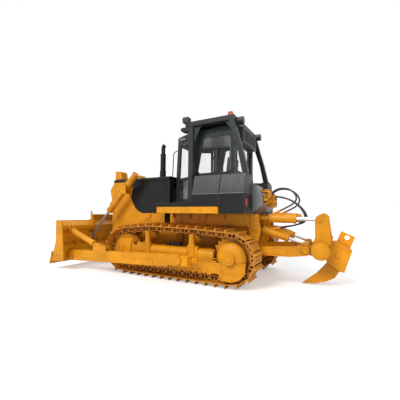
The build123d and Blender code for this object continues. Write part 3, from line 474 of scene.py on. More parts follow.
sky.links.new(all_seen.outputs[0], blend.inputs[0])
sky.links.new(backdrop.outputs[0], blend.inputs[1])
sky.links.new(seen.outputs[0], blend.inputs[2])
sky.links.new(blend.outputs[0], sky.nodes["World Output"].inputs["Surface"])

floor_mesh = bpy.data.meshes.new("floor")
reach = 60.0
floor_mesh.from_pydata([(-reach, -reach, 0), (reach, -reach, 0), (reach, reach, 0), (-reach, reach, 0)], [],
                       [(0, 1, 2, 3)])
floor = bpy.data.objects.new("floor", floor_mesh)
bpy.context.scene.collection.objects.link(floor)
floor.location.z = -0.002
floor_paint, floor_tree, floor_shader = new_material("floor")
floor_shader.inputs["Base Color"].default_value = (0.86, 0.86, 0.86, 1.0)
floor_shader.inputs["Roughness"].default_value = 0.9
floor_shader.inputs["Specular IOR Level"].default_value = 0.1
glow = node(floor_tree, "ShaderNodeEmission", Strength=0.34)
floor_path = node(floor_tree, "ShaderNodeLightPath")
strength = node(floor_tree, "ShaderNodeMath", operation="MULTIPLY")
strength.inputs[1].default_value = 0.34
floor_tree.links.new(floor_path.outputs["Is Camera Ray"], strength.inputs[0])
floor_tree.links.new(strength.outputs[0], glow.inputs["Strength"])
total = node(floor_tree, "ShaderNodeAddShader")
floor_tree.links.new(floor_shader.outputs[0], total.inputs[0])
floor_tree.links.new(glow.outputs[0], total.inputs[1])
floor_tree.links.new(total.outputs[0], floor_tree.nodes["Material Output"].inputs["Surface"])
floor_mesh.materials.append(floor_paint)

# ---------------------------------------------------------------- CAD nodes with rounded edges

finishes = {
    yellow: ("main_frame", "radiator_guard", "fenders", "push_arms", "blade", "cutting_edge", "braces", "lift_yokes",
             "lift_barrel_left", "lift_barrel_right", "track_frames", "final_drives", "headlamps", "ripper_bracket",
             "ripper_beam", "ripper_pins", "toolbar", "ripper_posts", "shank", "pitch_barrel_left", "pitch_barrel_right",
             "raise_barrel_left", "raise_barrel_right", "valve_block"),
    yellow_dusty: ("idlers", "track_rollers", "carrier_rollers", "sprockets"),
    black: ("hood", "engine_covers", "front_grille", "exhaust_stack"),
    dark: ("rops_frame", "cab_shell", "door_left", "door_right"),
    grey: ("cab_floor", "side_boxes", "air_conditioner"),
    pale_grey: ("fuel_tank",),
    pane: ("cab_glass", "door_glass_left", "door_glass_right"),
    plastic: ("work_lamps",),
    vinyl: ("operator_seat",),
    orange_lens: ("beacon",),
    iron: ("engine_block",),
    bare_steel: ("lift_rod_left", "lift_rod_right"),
    chrome: ("pitch_rod_left", "pitch_rod_right", "raise_rod_left",
             "raise_rod_right"),
}
bevel_of = {"cab_glass": 0.001, "door_glass_left": 0.001, "door_glass_right": 0.001, "operator_seat": 0.03,
            "headlamps": 0.015, "fuel_tank": 0.012, "side_boxes": 0.010, "hood": 0.008, "rops_frame": 0.010}
for finish, names in finishes.items():
    for name in names:
        dress(name, finish, bevel_of.get(name, 0.005))

# ---------------------------------------------------------------- tracks

track_y = 1.000
shoe_half = 0.280
shoe_count = 38
pin_to_shoe = 0.058
shoe_thickness = 0.014
grouser_height = 0.065
pin_to_tread = 0.057
rail_thickness = 0.045
rail_gap = 0.100
ground_to_pin = pin_to_shoe + shoe_thickness + grouser_height
idler_x = 2.785
idler_pitch_radius = 0.436
carriers = ((2.000, 1.086), (0.840, 1.058))  # (x, height of the pin line above it)
# (x, height, radius of the pin line round it), in the order that the track passes them
wheels = [(idler_x, ground_to_pin + idler_pitch_radius, idler_pitch_radius)]
wheels += [(x, z - 0.149, 0.149) for x, z in carriers]
wheels += [(0.0, ground_to_pin + 0.434, 0.434)]


def pin_line():
    """The pins of one track, evenly spaced along belts and arcs round its wheels."""
    angles = []
    for here, there in zip([wheels[-1]] + wheels, wheels):
        dx, dz = there[0] - here[0], there[1] - here[1]
        gap = hypot(dx, dz)
        lean = (here[2] - there[2]) / gap
        straight = sqrt(1 - lean**2)
        angles.append(atan2(lean * dz - straight * dx, lean * dx + straight * dz))
    stretches = []
    for i, (x, z, radius) in enumerate(wheels):
        begin, finish = angles[i], angles[(i + 1) % len(wheels)]
        while finish < begin:
            finish += 2 * pi
        stretches.append((radius * (finish - begin), x, z, radius, begin, None))
        next_x, next_z, next_radius = wheels[(i + 1) % len(wheels)]
        start = Vector((x + radius * cos(finish), z + radius * sin(finish)))
        end = Vector((next_x + next_radius * cos(finish), next_z + next_radius * sin(finish)))
        stretches.append(((end - start).length, 0, 0, 0, start, end))
    pitch = sum(stretch[0] for stretch in stretches) / shoe_count
    pins = []
    for i in range(shoe_count):
        distance = (i + 0.5) * pitch
        for length, x, z, radius, start, end in stretches:
            if distance <= length:
                break
            distance -= length
        if end is None:
            pins.append(Vector((x + radius * cos(start + distance / radius),
                                z + radius * sin(start + distance / radius))))
        else:
            pins.append(start.lerp(end, distance / length))
    return pins, pitch


pins, link_pitch = pin_line()


class Link:
    """One link's own directions: along it, outward from the loop, and across."""

    def __init__(self, shapes, first, second, y):
        self.shapes, self.first, self.y = shapes, first, y
        self.along = (second - first).normalized()
        self.out = Vector((self.along.y, -self.along.x))

    def point(self, along, outward):
        spot = self.first + self.along * along + self.out * outward
        return spot.x, spot.y

    def prism(self, profile, y_from, y_to):
        self.shapes.side([self.point(*p) for p in profile], self.y + y_from, self.y + y_to)

    def pin(self, along, y_from, y_to, radius, sides=16):
        x, z = self.point(along, 0)
        self.shapes.rod((x, self.y + y_from, z), (x, self.y + y_to, z), radius, sides)

    def head(self, along, outward, y, size, height):
        """A square-shouldered bolt head that stands outward."""
        x, z = self.point(along, outward)
        self.shapes.turned((x, self.y + y, z), (self.out.x, 0, self.out.y), ((0, size), (height, size * 0.9)), 6)


face = pin_to_shoe + shoe_thickness
tip = face + grouser_height
shoe_profile = (
    (0.002, pin_to_shoe + 0.001), (0.001, pin_to_shoe + 0.008), (0.005, face + 0.002), (0.017, face + 0.003),
    (0.022, tip), (0.034, tip), (0.046, face), (link_pitch - 0.030, face), (link_pitch - 0.014, face - 0.002),
    (link_pitch - 0.001, pin_to_shoe + 0.006), (link_pitch - 0.002, pin_to_shoe), (link_pitch * 0.5, pin_to_shoe),
)
for hand, sign in hands:
    shoes = Shapes(f"track_shoes_{hand}", "machine", track_paint, 0.0025)
    links = Shapes(f"track_links_{hand}", "machine", track_paint, 0.002)
    for first, second in zip(pins, pins[1:] + pins[:1]):
        plate = Link(shoes, first, second, sign * track_y)
        plate.prism(shoe_profile, -shoe_half, shoe_half)
        for y in (-0.105, -0.045, 0.045, 0.105):
            for along in (0.080, 0.160):
                plate.head(along, face - 0.001, y, 0.015, 0.014)
        for side in (-1, 1):
            inner, outer = side * rail_gap / 2, side * (rail_gap / 2 + rail_thickness)
            chain = Link(links, first, second, sign * track_y)
            mid = link_pitch / 2
            chain.prism(((0.020, -0.030), (0.030, -pin_to_tread), (link_pitch - 0.030, -pin_to_tread),
                         (link_pitch - 0.020, -0.030)), inner, outer)
            chain.prism(((0.026, 0.036), (0.034, pin_to_shoe), (link_pitch - 0.034, pin_to_shoe),
                         (link_pitch - 0.026, 0.036)), inner, outer)
            chain.prism(((mid - 0.014, -0.032), (mid - 0.018, 0.038), (mid + 0.018, 0.038), (mid + 0.014, -0.032)),
                        inner, outer)
            chain.pin(0.004, inner - side * 0.004, outer - side * 0.006, 0.041)
            chain.pin(link_pitch - 0.004, inner + side * 0.012, outer + side * 0.012, 0.041)
            chain.prism(((0.030, -0.032), (0.024, 0.038), (0.052, 0.038), (0.044, -0.032)), inner, outer)
            chain.prism(((link_pitch - 0.030, -0.032), (link_pitch - 0.024, 0.038), (link_pitch - 0.052, 0.038),
                         (link_pitch - 0.044, -0.032)), inner, outer)
            chain.pin(0.0, outer - side * 0.010, outer + side * 0.016, 0.020, 12)
        chain.pin(0.0, -rail_gap / 2, rail_gap / 2, 0.030)
    shoes.done(f"track_{hand}")
    links.done()

# ---------------------------------------------------------------- hoses of the ripper

high_route = (  # (x, z) from the valve block up, back and down to the barrel that pitches the shank
    (-0.585, 1.895), (-0.655, 1.965), (-0.800, 2.010), (-0.960, 1.985), (-1.080, 1.890), (-1.125, 1.780),
    (-1.080, 1.680), (-0.960, 1.600), (-0.820, 1.530),
)
low_route = (  # round behind the pitch cylinders to the barrel that raises the beam
    (-0.675, 1.830), (-0.850, 1.815), (-1.066, 1.705), (-1.200, 1.572), (-1.275, 1.433), (-1.255, 1.321),
    (-1.160, 1.249), (-0.994, 1.202), (-0.800, 1.167),
)
pitch_y, raise_y = 0.420, 0.400
hose_diameter = 0.034
# (cylinder and side, route, y at the valve block, y at the barrel, length)
hoses = (
    ("pitch", "left", high_route, 0.255, pitch_y, 1.11),
    ("pitch", "right", high_route, 0.130, -pitch_y, 1.25),
    ("raise", "left", low_route, 0.255, raise_y, 1.37),
    ("raise", "right", low_route, 0.130, -raise_y, 1.51),
)
for name, hand, route, y_from, y_to, length in hoses:
    last = len(route) - 2
    points = [place(x, y_from + (y_to - y_from) * min(i / last, 1) ** 2, z) for i, (x, z) in enumerate(route)]
    line = bpy.data.curves.new(f"{name}_hose_{hand}_line", "CURVE")
    line.dimensions = "3D"
    line.bevel_depth = hose_diameter / 2
    line.bevel_resolution = 4
    line.resolution_u = 8
    spline = line.splines.new("NURBS")
    spline.points.add(len(points) - 1)
    for spot, point in zip(spline.points, points):
        spot.co = (*point, 1.0)
    spline.order_u = 3
    spline.use_endpoint_u = True
    line.materials.append(rubber)
    hose = bpy.data.objects.new(f"{name}_hose_{hand}_line", line)
    bpy.context.scene.collection.objects.link(hose)
    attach(hose, "machine")
    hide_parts(f"{name}_hose_{hand}")

# ---------------------------------------------------------------- running gear

frame_face = 1.2405  # outer face of the roller guards and idler blocks
drive_z = ground_to_pin + 0.434
idler_z = ground_to_pin + idler_pitch_radius
roller_z = ground_to_pin + pin_to_tread + 0.105
roller_xs = [0.545 + i * (2.330 - 0.545) / 5 for i in range(6)]

gear = Shapes("running_gear_fittings", "machine", yellow, 0.003, both=True)
# domed cover of the final drive, with its bolted hub
gear.turned((0, 1.198, drive_z), (0, 1, 0), ((0, 0.278), (0.006, 0.272), (0.022, 0.225), (0.036, 0.155),
                                             (0.042, 0.125), (0.060, 0.118), (0.095, 0.104)), 48)
gear.turned((0, 1.290, drive_z), (0, 1, 0), ((0, 0.118), (0.022, 0.118), (0.028, 0.110), (0.030, 0.052),
                                             (0.048, 0.046), (0.050, 0.040)), 32)
gear.bolts_round((0, 1.312, drive_z), (0, 1, 0), 0.085, 8, 0.016, 0.016)
gear.bolts_round((0, 1.206, drive_z), (0, 1, 0), 0.255, 16, 0.012, 0.012, 0.2)
# rim of the bearing seat in the rock guard, and the guard's bolts
gear.side(((-0.235, 0.470), (-0.235, 0.482), (-0.125, 0.486), (-0.125, 0.474)), 1.239, 1.250)
for x, z in ((0.165, 0.445), (0.165, 0.330), (0.165, 0.190), (-0.280, 0.470), (-0.275, 0.330), (-0.050, 0.165)):
    gear.bolt((x, 1.2405, z), (0, 1, 0), 0.014, 0.013)
gear.side(((0.190, 0.262), (0.190, 0.292), (-0.300, 0.312), (-0.300, 0.282)), 1.239, 1.248)
# caps of the track rollers, hanging below the guards
for x in roller_xs:
    gear.turned((x, frame_face - 0.002, roller_z), (0, 1, 0), ((0, 0.062), (0.012, 0.060), (0.018, 0.050),
                                                                (0.018, 0.022), (0.026, 0.018)), 24)
    for side in (-1, 1):
        gear.bolt((x + side * 0.105, frame_face, roller_z + 0.012), (0, 1, 0), 0.014, 0.014)
        gear.side(((x + side * 0.060, 0.262), (x + side * 0.150, 0.262), (x + side * 0.150, 0.232),
                   (x + side * 0.070, 0.225)), 1.150, 1.235)
# seams and welded strips of the frame's outer plate
gear.box(0.245, 2.400, frame_face - 0.002, frame_face + 0.006, 0.548, 0.560)
gear.box(0.260, 0.700, 1.236, 1.268, 0.500, 0.516)
for x in (0.30, 0.62, 1.30, 1.85):
    gear.bolt((x, frame_face, 0.420), (0, 1, 0), 0.013, 0.012)
# bands and seams round the rounded covers
for x in (0.955, 1.420, 1.905, 0.690):
    gear.turned((x - 0.006, 1.150, 0.610), (1, 0, 0), ((0, 0.1125), (0.012, 0.1125)), 40)
# idler: guide block, bolts, and the raised box behind it
gear.box(2.480, 2.865, frame_face - 0.004, frame_face + 0.018, 0.480, 0.820)
gear.box(2.500, 2.560, frame_face, frame_face + 0.030, 0.520, 0.800)
gear.turned((idler_x, frame_face + 0.016, idler_z), (0, 1, 0), ((0, 0.060), (0.014, 0.058), (0.018, 0.048)), 28)
gear.bolts_round((idler_x, frame_face + 0.018, idler_z), (0, 1, 0), 0.105, 4, 0.015, 0.014, pi / 4)
gear.box(1.930, 2.290, 1.245, 1.262, 0.580, 0.755)
for x, height in carriers:
    top = height - 0.050
    gear.side(((x - 0.080, 0.755), (x - 0.055, 0.815), (x - 0.042, top), (x + 0.042, top), (x + 0.050, 0.815),
               (x + 0.085, 0.755)), 1.200, 1.275)
    for drop in (0.045, 0.110, 0.180):
        gear.bolt((x, 1.274, top - drop), (0, 1, 0), 0.014, 0.014)
for x in (0.745, 0.930, 1.960, 2.150, 2.250):
    gear.bolt((x, 1.215, 0.762), (0, 0, 1), 0.014, 0.014)
# spokes and rim of the idler
gear.turned((idler_x, track_y + 0.094, idler_z), (0, 1, 0), ((0, 0.320), (0.006, 0.318), (0.006, 0.275), (-0.004, 0.270)),
            48)
gear.done()

rim = Shapes("idler_rims", "machine", yellow_dusty, 0.004, both=True)
for side in (-1, 1):
    rim.turned((idler_x, track_y + side * 0.092, idler_z), (0, side, 0),
               ((0, 0.360), (0.010, 0.358), (0.012, 0.345), (0.004, 0.338)), 56)
    for x, z in ((x, height - 0.149) for x, height in carriers):
        rim.turned((x, track_y + side * 0.098, z), (0, side, 0), ((0, 0.080), (0.010, 0.076), (0.016, 0.050),
                                                                   (0.030, 0.045)), 28)
        rim.turned((x, track_y + side * 0.055, z), (0, side, 0), ((0, 0.098), (0.016, 0.098)), 32)
rim.done()

# dark hydraulic plumbing between the two runs of the track
inner = Shapes("track_inner_plumbing", "machine", black, 0.002, both=True)
inner.box(1.30, 1.52, 0.860, 0.960, 0.705, 0.790)
inner.box(1.60, 1.70, 0.860, 0.940, 0.705, 0.760)
inner.done()

# ---------------------------------------------------------------- hull sides below the platforms

hull = Shapes("hull_side_ribs", "machine", yellow_dusty, 0.004, both=True)
for x in (0.80, 1.42):
    hull.box(x, x + 0.018, 0.699, 0.715, 1.190, 1.448)
hull.box(-0.20, 1.74, 0.699, 0.728, 1.186, 1.206)
for x in (0.93, 0.985):
    for z in (1.26, 1.32, 1.38):
        hull.bolt((x, 0.700, z), (0, 1, 0), 0.015, 0.014)
for x in (1.50, 1.56):
    for z in (1.24, 1.40):
        hull.bolt((x, 0.700, z), (0, 1, 0), 0.013, 0.012)
hull.box(1.05, 1.20, 0.480, 0.720, 1.110, 1.180)
for x in (0.60, 1.50, 2.40, 3.10):
    hull.box(x, x + 0.020, 0.479, 0.520, 0.62, 1.08)
hull.done()

# ---------------------------------------------------------------- radiator guard and nose

nose = Shapes("nose_fittings", "machine", yellow, 0.003, both=True)
guard_y = 0.600
for z in (0.92, 1.10, 1.28, 1.46, 1.64):
    nose.bolt((3.775, guard_y, z), (0, 1, 0), 0.015, 0.013)
nose.side(((3.745, 0.850), (3.745, 1.690), (3.762, 1.690), (3.762, 0.850)), guard_y - 0.002, guard_y + 0.008)
nose.side(((2.055, 1.250), (2.055, 1.405), (2.070, 1.405), (2.070, 1.250)), guard_y - 0.002, guard_y + 0.008)
nose.box(2.10, 2.64, guard_y - 0.002, guard_y + 0.006, 1.250, 1.262)
nose.side(((2.42, 1.440), (2.46, 1.300), (2.56, 1.300), (2.60, 1.440)), guard_y - 0.002, guard_y + 0.022)
for x, z in ((2.47, 1.40), (2.55, 1.40), (2.51, 1.33)):
    nose.bolt((x, guard_y + 0.020, z), (0, 1, 0), 0.013, 0.012)
for x, z in ((3.20, 1.95), (3.20, 2.20), (3.72, 2.20), (3.80, 1.95)):
    nose.bolt((x, guard_y, z), (0, 1, 0), 0.013, 0.012)
nose.side(((3.300, 2.030), (3.300, 2.180), (3.600, 2.180), (3.600, 2.030)), guard_y - 0.002, guard_y + 0.004)
nose.done()

# ---------------------------------------------------------------- blade and push arms

arm_y, arm_half = 1.550, 0.065
blade_half = 1.8625
fittings = Shapes("blade_fittings", "blade_group", yellow, 0.004, both=True)
# end bits, stepped outward at the foot of the board
fittings.side(((4.700, 0.128), (4.672, 0.128), (4.600, 0.262), (4.590, 0.440), (4.612, 0.445), (4.655, 0.262)),
              blade_half - 0.060, blade_half + 0.012)
# stiffeners on the back of the board
for y in (0.30, 0.62, 1.10, 1.35):
    fittings.side(((4.455, 1.060), (4.335, 1.055), (4.335, 1.085), (4.470, 1.200)), y - 0.008, y + 0.008)
    fittings.side(((4.420, 0.640), (4.330, 0.566), (4.330, 0.590), (4.400, 0.760)), y - 0.008, y + 0.008)
# stepped strips along the ends
fittings.side(((4.165, 0.262), (4.172, 0.300), (4.590, 0.300), (4.600, 0.262)), blade_half - 0.002, blade_half + 0.010)
fittings.side(((4.250, 1.195), (4.256, 1.216), (4.480, 1.232), (4.478, 1.208)), blade_half - 0.002, blade_half + 0.010)
for x, z in ((4.30, 0.33), (4.42, 0.33), (4.54, 0.33)):
    fittings.bolt((x, blade_half, z + 0.03), (0, 1, 0), 0.015, 0.013)
# edges of the arms: welded strips, stops and the joint with the blade
fittings.side(((1.55, 0.352), (1.55, 0.478), (2.11, 0.452), (2.11, 0.330)), arm_y + arm_half - 0.002,
              arm_y + arm_half + 0.010)
fittings.side(((4.085, 0.250), (4.085, 0.470), (4.330, 0.455), (4.330, 0.235)), arm_y - arm_half - 0.012,
              arm_y + arm_half + 0.012)
for x in (4.125, 4.285):
    for z in (0.290, 0.420):
        fittings.bolt((x, arm_y + arm_half + 0.011, z), (0, 1, 0), 0.018, 0.016)
fittings.side(((2.940, 0.455), (2.940, 0.475), (3.420, 0.450), (3.420, 0.430)), arm_y - arm_half - 0.006,
              arm_y + arm_half + 0.006)
# bearing caps on the trunnions
fittings.side(((0.905, 0.405), (0.905, 0.625), (1.150, 0.628), (1.180, 0.600), (1.180, 0.400)), arm_y - arm_half - 0.010,
              arm_y + arm_half + 0.010)
fittings.side(((0.722, 0.425), (0.722, 0.600), (0.893, 0.622), (0.893, 0.408)), arm_y - arm_half - 0.008,
              arm_y + arm_half + 0.008)
for z in (0.418, 0.606):
    for y in (arm_y - 0.035, arm_y + 0.035):
        fittings.rod((0.690, y, z), (0.722, y, z), 0.016, 6)
# collars and pins of the braces
low_eye, high_eye = Vector((3.340, arm_y, 0.660)), Vector((4.285, arm_y, 0.985))
brace_way = (high_eye - low_eye).normalized()
for eye, way in ((low_eye, brace_way), (high_eye, -brace_way)):
    fittings.turned(eye + way * 0.080, way, ((0, 0.060), (0.012, 0.078), (0.060, 0.080), (0.068, 0.070)), 32)
    for side in (-1, 1):
        fittings.turned(eye + Vector((0, side * 0.054, 0)), (0, side, 0),
                        ((0, 0.042), (0.014, 0.040), (0.016, 0.030)), 24)
fittings.done()

# wedges behind the visor, and the brackets where the lift rods reach the board
wedges = Shapes("blade_wedges", "blade_group", yellow, 0.006, both=True)
wedges.side(((4.335, 1.095), (4.385, 1.240), (4.420, 1.270), (4.462, 1.270), (4.478, 1.200)), 0.735, 0.865)
wedges.side(((4.462, 1.240), (4.440, 1.390), (4.470, 1.405), (4.486, 1.380), (4.486, 1.240)), 0.000, 0.760)
wedges.done()

edge = Shapes("blade_edge_bolts", "blade_group", bare_steel, 0.001, both=True)
for i in range(8):
    edge.bolt((4.676, 0.12 + i * 0.23, 0.200), (0.92, 0, 0.39), 0.014, 0.008)
edge.done()

# ---------------------------------------------------------------- lift cylinders of the blade

lift_y = 0.840
lift_pin, lift_eye = Vector((3.120, 0, 2.090)), Vector((4.365, 0, 0.795))
lift_way = (lift_eye - lift_pin).normalized()
lift_up = Vector((-lift_way.z, 0, lift_way.x))
for hand, sign in hands:
    barrel = Shapes(f"lift_barrel_fittings_{hand}", f"lift_barrel_{hand}", yellow, 0.004)
    at = lift_pin + Vector((0, sign * lift_y, 0))
    for along, length, radius in ((-0.350, 0.030, 0.086), (0.300, 0.028, 0.086), (0.560, 0.028, 0.086),
                                  (0.770, 0.052, 0.094)):
        barrel.sleeve(at + lift_way * along, lift_way, 0.076, radius, length)
    # plates of the boxy head that carries the pins
    for way in (-1, 1):
        corners = [lift_pin + lift_way * a + lift_up * way * b for a, b in
                   ((-0.100, 0.074), (-0.085, 0.092), (0.085, 0.092), (0.100, 0.074))]
        barrel.side([(c.x, c.z) for c in corners], sign * lift_y - 0.072, sign * lift_y + 0.072)
        corners = [lift_pin + lift_way * a + lift_up * b for a, b in
                   ((-0.095, -0.070), (0.095, -0.070), (0.095, 0.070), (-0.095, 0.070))]
        face_y = sign * lift_y + way * 0.078
        barrel.side([(c.x, c.z) for c in corners], face_y - 0.007, face_y + 0.007)
    barrel.done()
    tubes = Shapes(f"lift_barrel_pipes_{hand}", f"lift_barrel_{hand}", yellow, 0.0)
    for turn, start, end in ((0.10, -0.30, 0.70), (0.045, -0.30, 0.18)):
        base = at + lift_up * 0.096 + Vector((0, turn - 0.07, 0))
        tubes.pipe([base + lift_way * start - lift_up * 0.030, base + lift_way * (start + 0.05),
                    base + lift_way * (end - 0.05), base + lift_way * end - lift_up * 0.040], 0.012, 0.03)
    tubes.done()

# ---------------------------------------------------------------- hood, covers and stack

top = Shapes("hood_fittings", "machine", black, 0.004)
top.turned((2.510, 0, 2.394), (0, 0, 1), ((0, 0.150), (0.012, 0.150), (0.020, 0.120), (0.040, 0.096)), 36)
top.turned((2.510, 0, 3.105), (0, 0, 1), ((0, 0.079), (0.010, 0.082), (0.030, 0.080), (0.040, 0.062)), 36)
for side in (-1, 1):
    for x in (2.15, 2.78, 3.35):
        top.box(x, x + 0.006, side * 0.30 - 0.30, side * 0.30 + 0.30, 2.393, 2.397)
        top.bolt((x + 0.05, side * 0.520, 2.392), (0, 0, 1), 0.012, 0.010)
    # bulkhead between the covers and the cab
    top.box(1.872, 1.882, side * 0.488 - 0.088, side * 0.488 + 0.086, 1.455, 2.368)
    panel_y = side * 0.5748
    for x_from, x_to, z_from, z_to in ((1.990, 2.560, 1.500, 2.330), (2.590, 2.760, 1.560, 2.330),
                                       (2.790, 3.120, 1.900, 2.330)):
        top.box(x_from, x_to, min(panel_y, panel_y + side * 0.007), max(panel_y, panel_y + side * 0.007), z_from, z_to)
    for x, z in ((2.060, 1.620), (2.060, 2.240), (2.500, 1.900)):
        top.box(x, x + 0.060, min(panel_y, panel_y + side * 0.024), max(panel_y, panel_y + side * 0.024), z, z + 0.022)
top.done()

lamps = Shapes("headlamp_lenses", "machine", white_lens, 0.002, both=True)
for y in (0.370, 0.490):
    lamps.box(3.788, 3.797, y - 0.052, y + 0.052, 2.450, 2.600)
lamps.box(1.304, 1.311, 0.782, 0.908, 3.575, 3.678)
lamps.done()
rear_lamps = Shapes("rear_lamp_lenses", "machine", dark_lens, 0.002, both=True)
rear_lamps.turned((-0.108, 0.700, 3.465), (-1, 0, 0), ((0, 0.074), (0.010, 0.070), (0.018, 0.040)), 36)
rear_lamps.done()
hoods = Shapes("lamp_rims", "machine", plastic, 0.002, both=True)
hoods.turned((-0.104, 0.700, 3.465), (-1, 0, 0), ((0, 0.087), (0.010, 0.087), (0.010, 0.076), (0.002, 0.075)), 40)
hoods.box(3.784, 3.796, 0.300, 0.560, 2.430, 2.445)
hoods.box(3.784, 3.796, 0.300, 0.560, 2.606, 2.625)
hoods.done()

# ---------------------------------------------------------------- platforms and side boxes

deck = Shapes("platform_fittings", "machine", yellow, 0.004, both=True)
deck.plan(((0.236, 1.268), (1.660, 1.268), (1.705, 1.275), (1.725, 1.290), (0.236, 1.290)), 1.452, 1.586)
for x in (0.32, 0.62, 0.92, 1.22, 1.52):
    deck.bolt((x, 1.289, 1.515), (0, 1, 0), 0.013, 0.012)
deck.box(1.705, 1.715, 0.720, 1.270, 1.530, 1.576)
deck.done()

box_black = Shapes("side_box_panels", "machine", black, 0.004, both=True)
box_black.box(-0.290, 0.224, 1.249, 1.256, 1.456, 1.846)
box_black.box(0.236, 0.846, 1.249, 1.256, 1.590, 1.846)
box_black.box(0.850, 1.822, 1.249, 1.256, 1.586, 1.676)
box_black.box(0.850, 1.818, 1.140, 1.246, 1.679, 1.684)
box_black.box(-0.300, -0.294, 0.720, 1.240, 1.470, 1.840)
box_black.box(0.150, 0.172, 1.256, 1.270, 1.600, 1.660)
box_black.done()
# Pale strips on the side boxes: the one along the top edge of the black panels is a painted highlight; the upright one
# lies in the seam between the panels.
pale_strips = Shapes("side_box_pale_strips", "machine", pale_grey, 0.002, both=True)
pale_strips.box(-0.292, 0.844, 1.2515, 1.2575, 1.846, 1.856)
pale_strips.box(0.230, 0.234, 1.2515, 1.2575, 1.600, 1.846)
pale_strips.done()
seats = Shapes("side_box_hatches", "machine", grey, 0.004, both=True)
for x_from, x_to in ((-0.255, 0.205), (0.262, 0.805)):
    seats.box(x_from, x_to, 0.760, 1.080, 2.249, 2.262)
for x in (-0.20, 0.16, 0.31, 0.76):
    seats.bolt((x, 1.100, 2.250), (0, 0, 1), 0.012, 0.010)
seats.done()
tail = Shapes("tail_lamps", "machine", red_lens, 0.002, both=True)
tail.box(-0.322, -0.300, 1.110, 1.200, 1.600, 1.740)
tail.done()

tank = Shapes("tank_fittings", "machine", black, 0.003)
tank.turned((-0.180, 0.480, 2.105), (0, 0, 1), ((0, 0.052), (0.040, 0.052), (0.046, 0.066), (0.084, 0.064),
                                                (0.090, 0.050)), 32)
for y in (0.30, 0.66):
    tank.box(-0.300, -0.020, y - 0.018, y + 0.018, 2.086, 2.134)
tank.done()

# ---------------------------------------------------------------- roll-over frame and cab

frame_bits = Shapes("roll_over_frame_fittings", "machine", dark, 0.004, both=True)
frame_bits.box(-0.300, -0.130, 0.765, 0.935, 2.249, 2.268)
frame_bits.box(1.000, 1.170, 0.765, 0.935, 1.579, 1.600)
for x_from, x_to, z in ((-0.300, -0.130, 2.267), (1.000, 1.170, 1.599)):
    for x in (x_from + 0.012, x_to - 0.012):
        for y in (0.777, 0.923):
            frame_bits.bolt((x, y, z), (0, 0, 1), 0.011, 0.014)
frame_bits.box(0.035, 1.228, 0.905, 0.914, 3.462, 3.470)
frame_bits.box(1.160, 1.230, 0.795, 0.895, 3.556, 3.575)
# visor over the windscreen, drip rail
frame_bits.side(((1.145, 3.352), (1.145, 3.448), (1.330, 3.448), (1.352, 3.420), (1.352, 3.372)), 0.700, 0.910)
frame_bits.box(0.100, 1.165, 0.698, 0.714, 3.330, 3.345)
frame_bits.done()

cooler = Shapes("air_conditioner_grille", "machine", black, 0.002)
cooler.box(-0.046, -0.038, -0.470, 0.470, 3.090, 3.370)
for i in range(9):
    z = 3.110 + i * 0.028
    cooler.box(-0.052, -0.044, -0.455, 0.455, z, z + 0.010)
cooler.done()
cooler_frame = Shapes("air_conditioner_rim", "machine", pale_grey, 0.002)
for z in (3.078, 3.372):
    cooler_frame.box(-0.050, -0.039, -0.480, 0.480, z, z + 0.010)
for y in (-0.480, 0.470):
    cooler_frame.box(-0.050, -0.039, y, y + 0.010, 3.078, 3.382)
cooler_frame.done()

liner = Shapes("cab_liner", "machine", pale_grey, 0.010)
liner.box(0.155, 1.600, -0.560, 0.560, 3.270, 3.322)
for side in (-1, 1):
    liner.box(0.150, 0.230, side * 0.620 - 0.025, side * 0.620 + 0.025, 1.700, 3.280)
    liner.box(1.090, 1.160, side * 0.620 - 0.025, side * 0.620 + 0.025, 1.700, 3.280)
    liner.box(0.480, 1.020, side * 0.380 - 0.080, side * 0.380 + 0.080, 1.700, 2.180)
liner.box(1.480, 1.640, -0.300, 0.300, 1.700, 2.300)
liner.done()
cabin = Shapes("cab_controls", "machine", plastic, 0.006)
for side in (-1, 1):
    cabin.rod((0.960, side * 0.380, 2.170), (1.000, side * 0.370, 2.330), 0.012, 16)
    cabin.turned((1.000, side * 0.370, 2.320), (0.1, 0, 1), ((0, 0.018), (0.030, 0.028), (0.070, 0.026), (0.090, 0.012)), 20)
    cabin.box(0.520, 0.900, side * 0.300 - 0.040, side * 0.300 + 0.040, 2.230, 2.280)
cabin.box(0.360, 0.440, -0.130, 0.130, 2.790, 2.960)
cabin.box(1.500, 1.560, -0.160, 0.160, 2.300, 2.440)
cabin.done()

door_out = Vector((0.459, 0.888, 0))
door_along = Vector((0.888, -0.459, 0))
for hand, sign in hands:
    handle = Shapes(f"door_handle_{hand}", f"door_{hand}", plastic, 0.003)
    middle_point = Vector((1.170, 0.700, 0)) + door_along * 0.560 + door_out * 0.004
    corners = []
    for along, out in ((-0.018, 0.0), (0.018, 0.0), (0.018, 0.028), (-0.018, 0.028)):
        spot = middle_point + door_along * along + door_out * out
        corners.append((spot.x, sign * spot.y))
    handle.plan(corners, 2.262, 2.318)
    handle.done()

rails = Shapes("grab_rails", "machine", plastic, 0.0, both=True)
rails.pipe(((1.790, 0.372, 3.080), (1.880, 0.400, 3.020), (1.905, 0.405, 2.300), (1.840, 0.385, 2.220)), 0.012, 0.05)
rails.done()

# frames and rounded corners of the windows, as (profile, how it is laid, from, to)
side_window = ((0.180, 2.380), (1.020, 2.380), (0.860, 3.200), (0.180, 3.200))
rear_window = ((-0.520, 2.420), (0.520, 2.420), (0.520, 3.020), (-0.520, 3.020))
corner_radius, lip = 0.070, 0.022


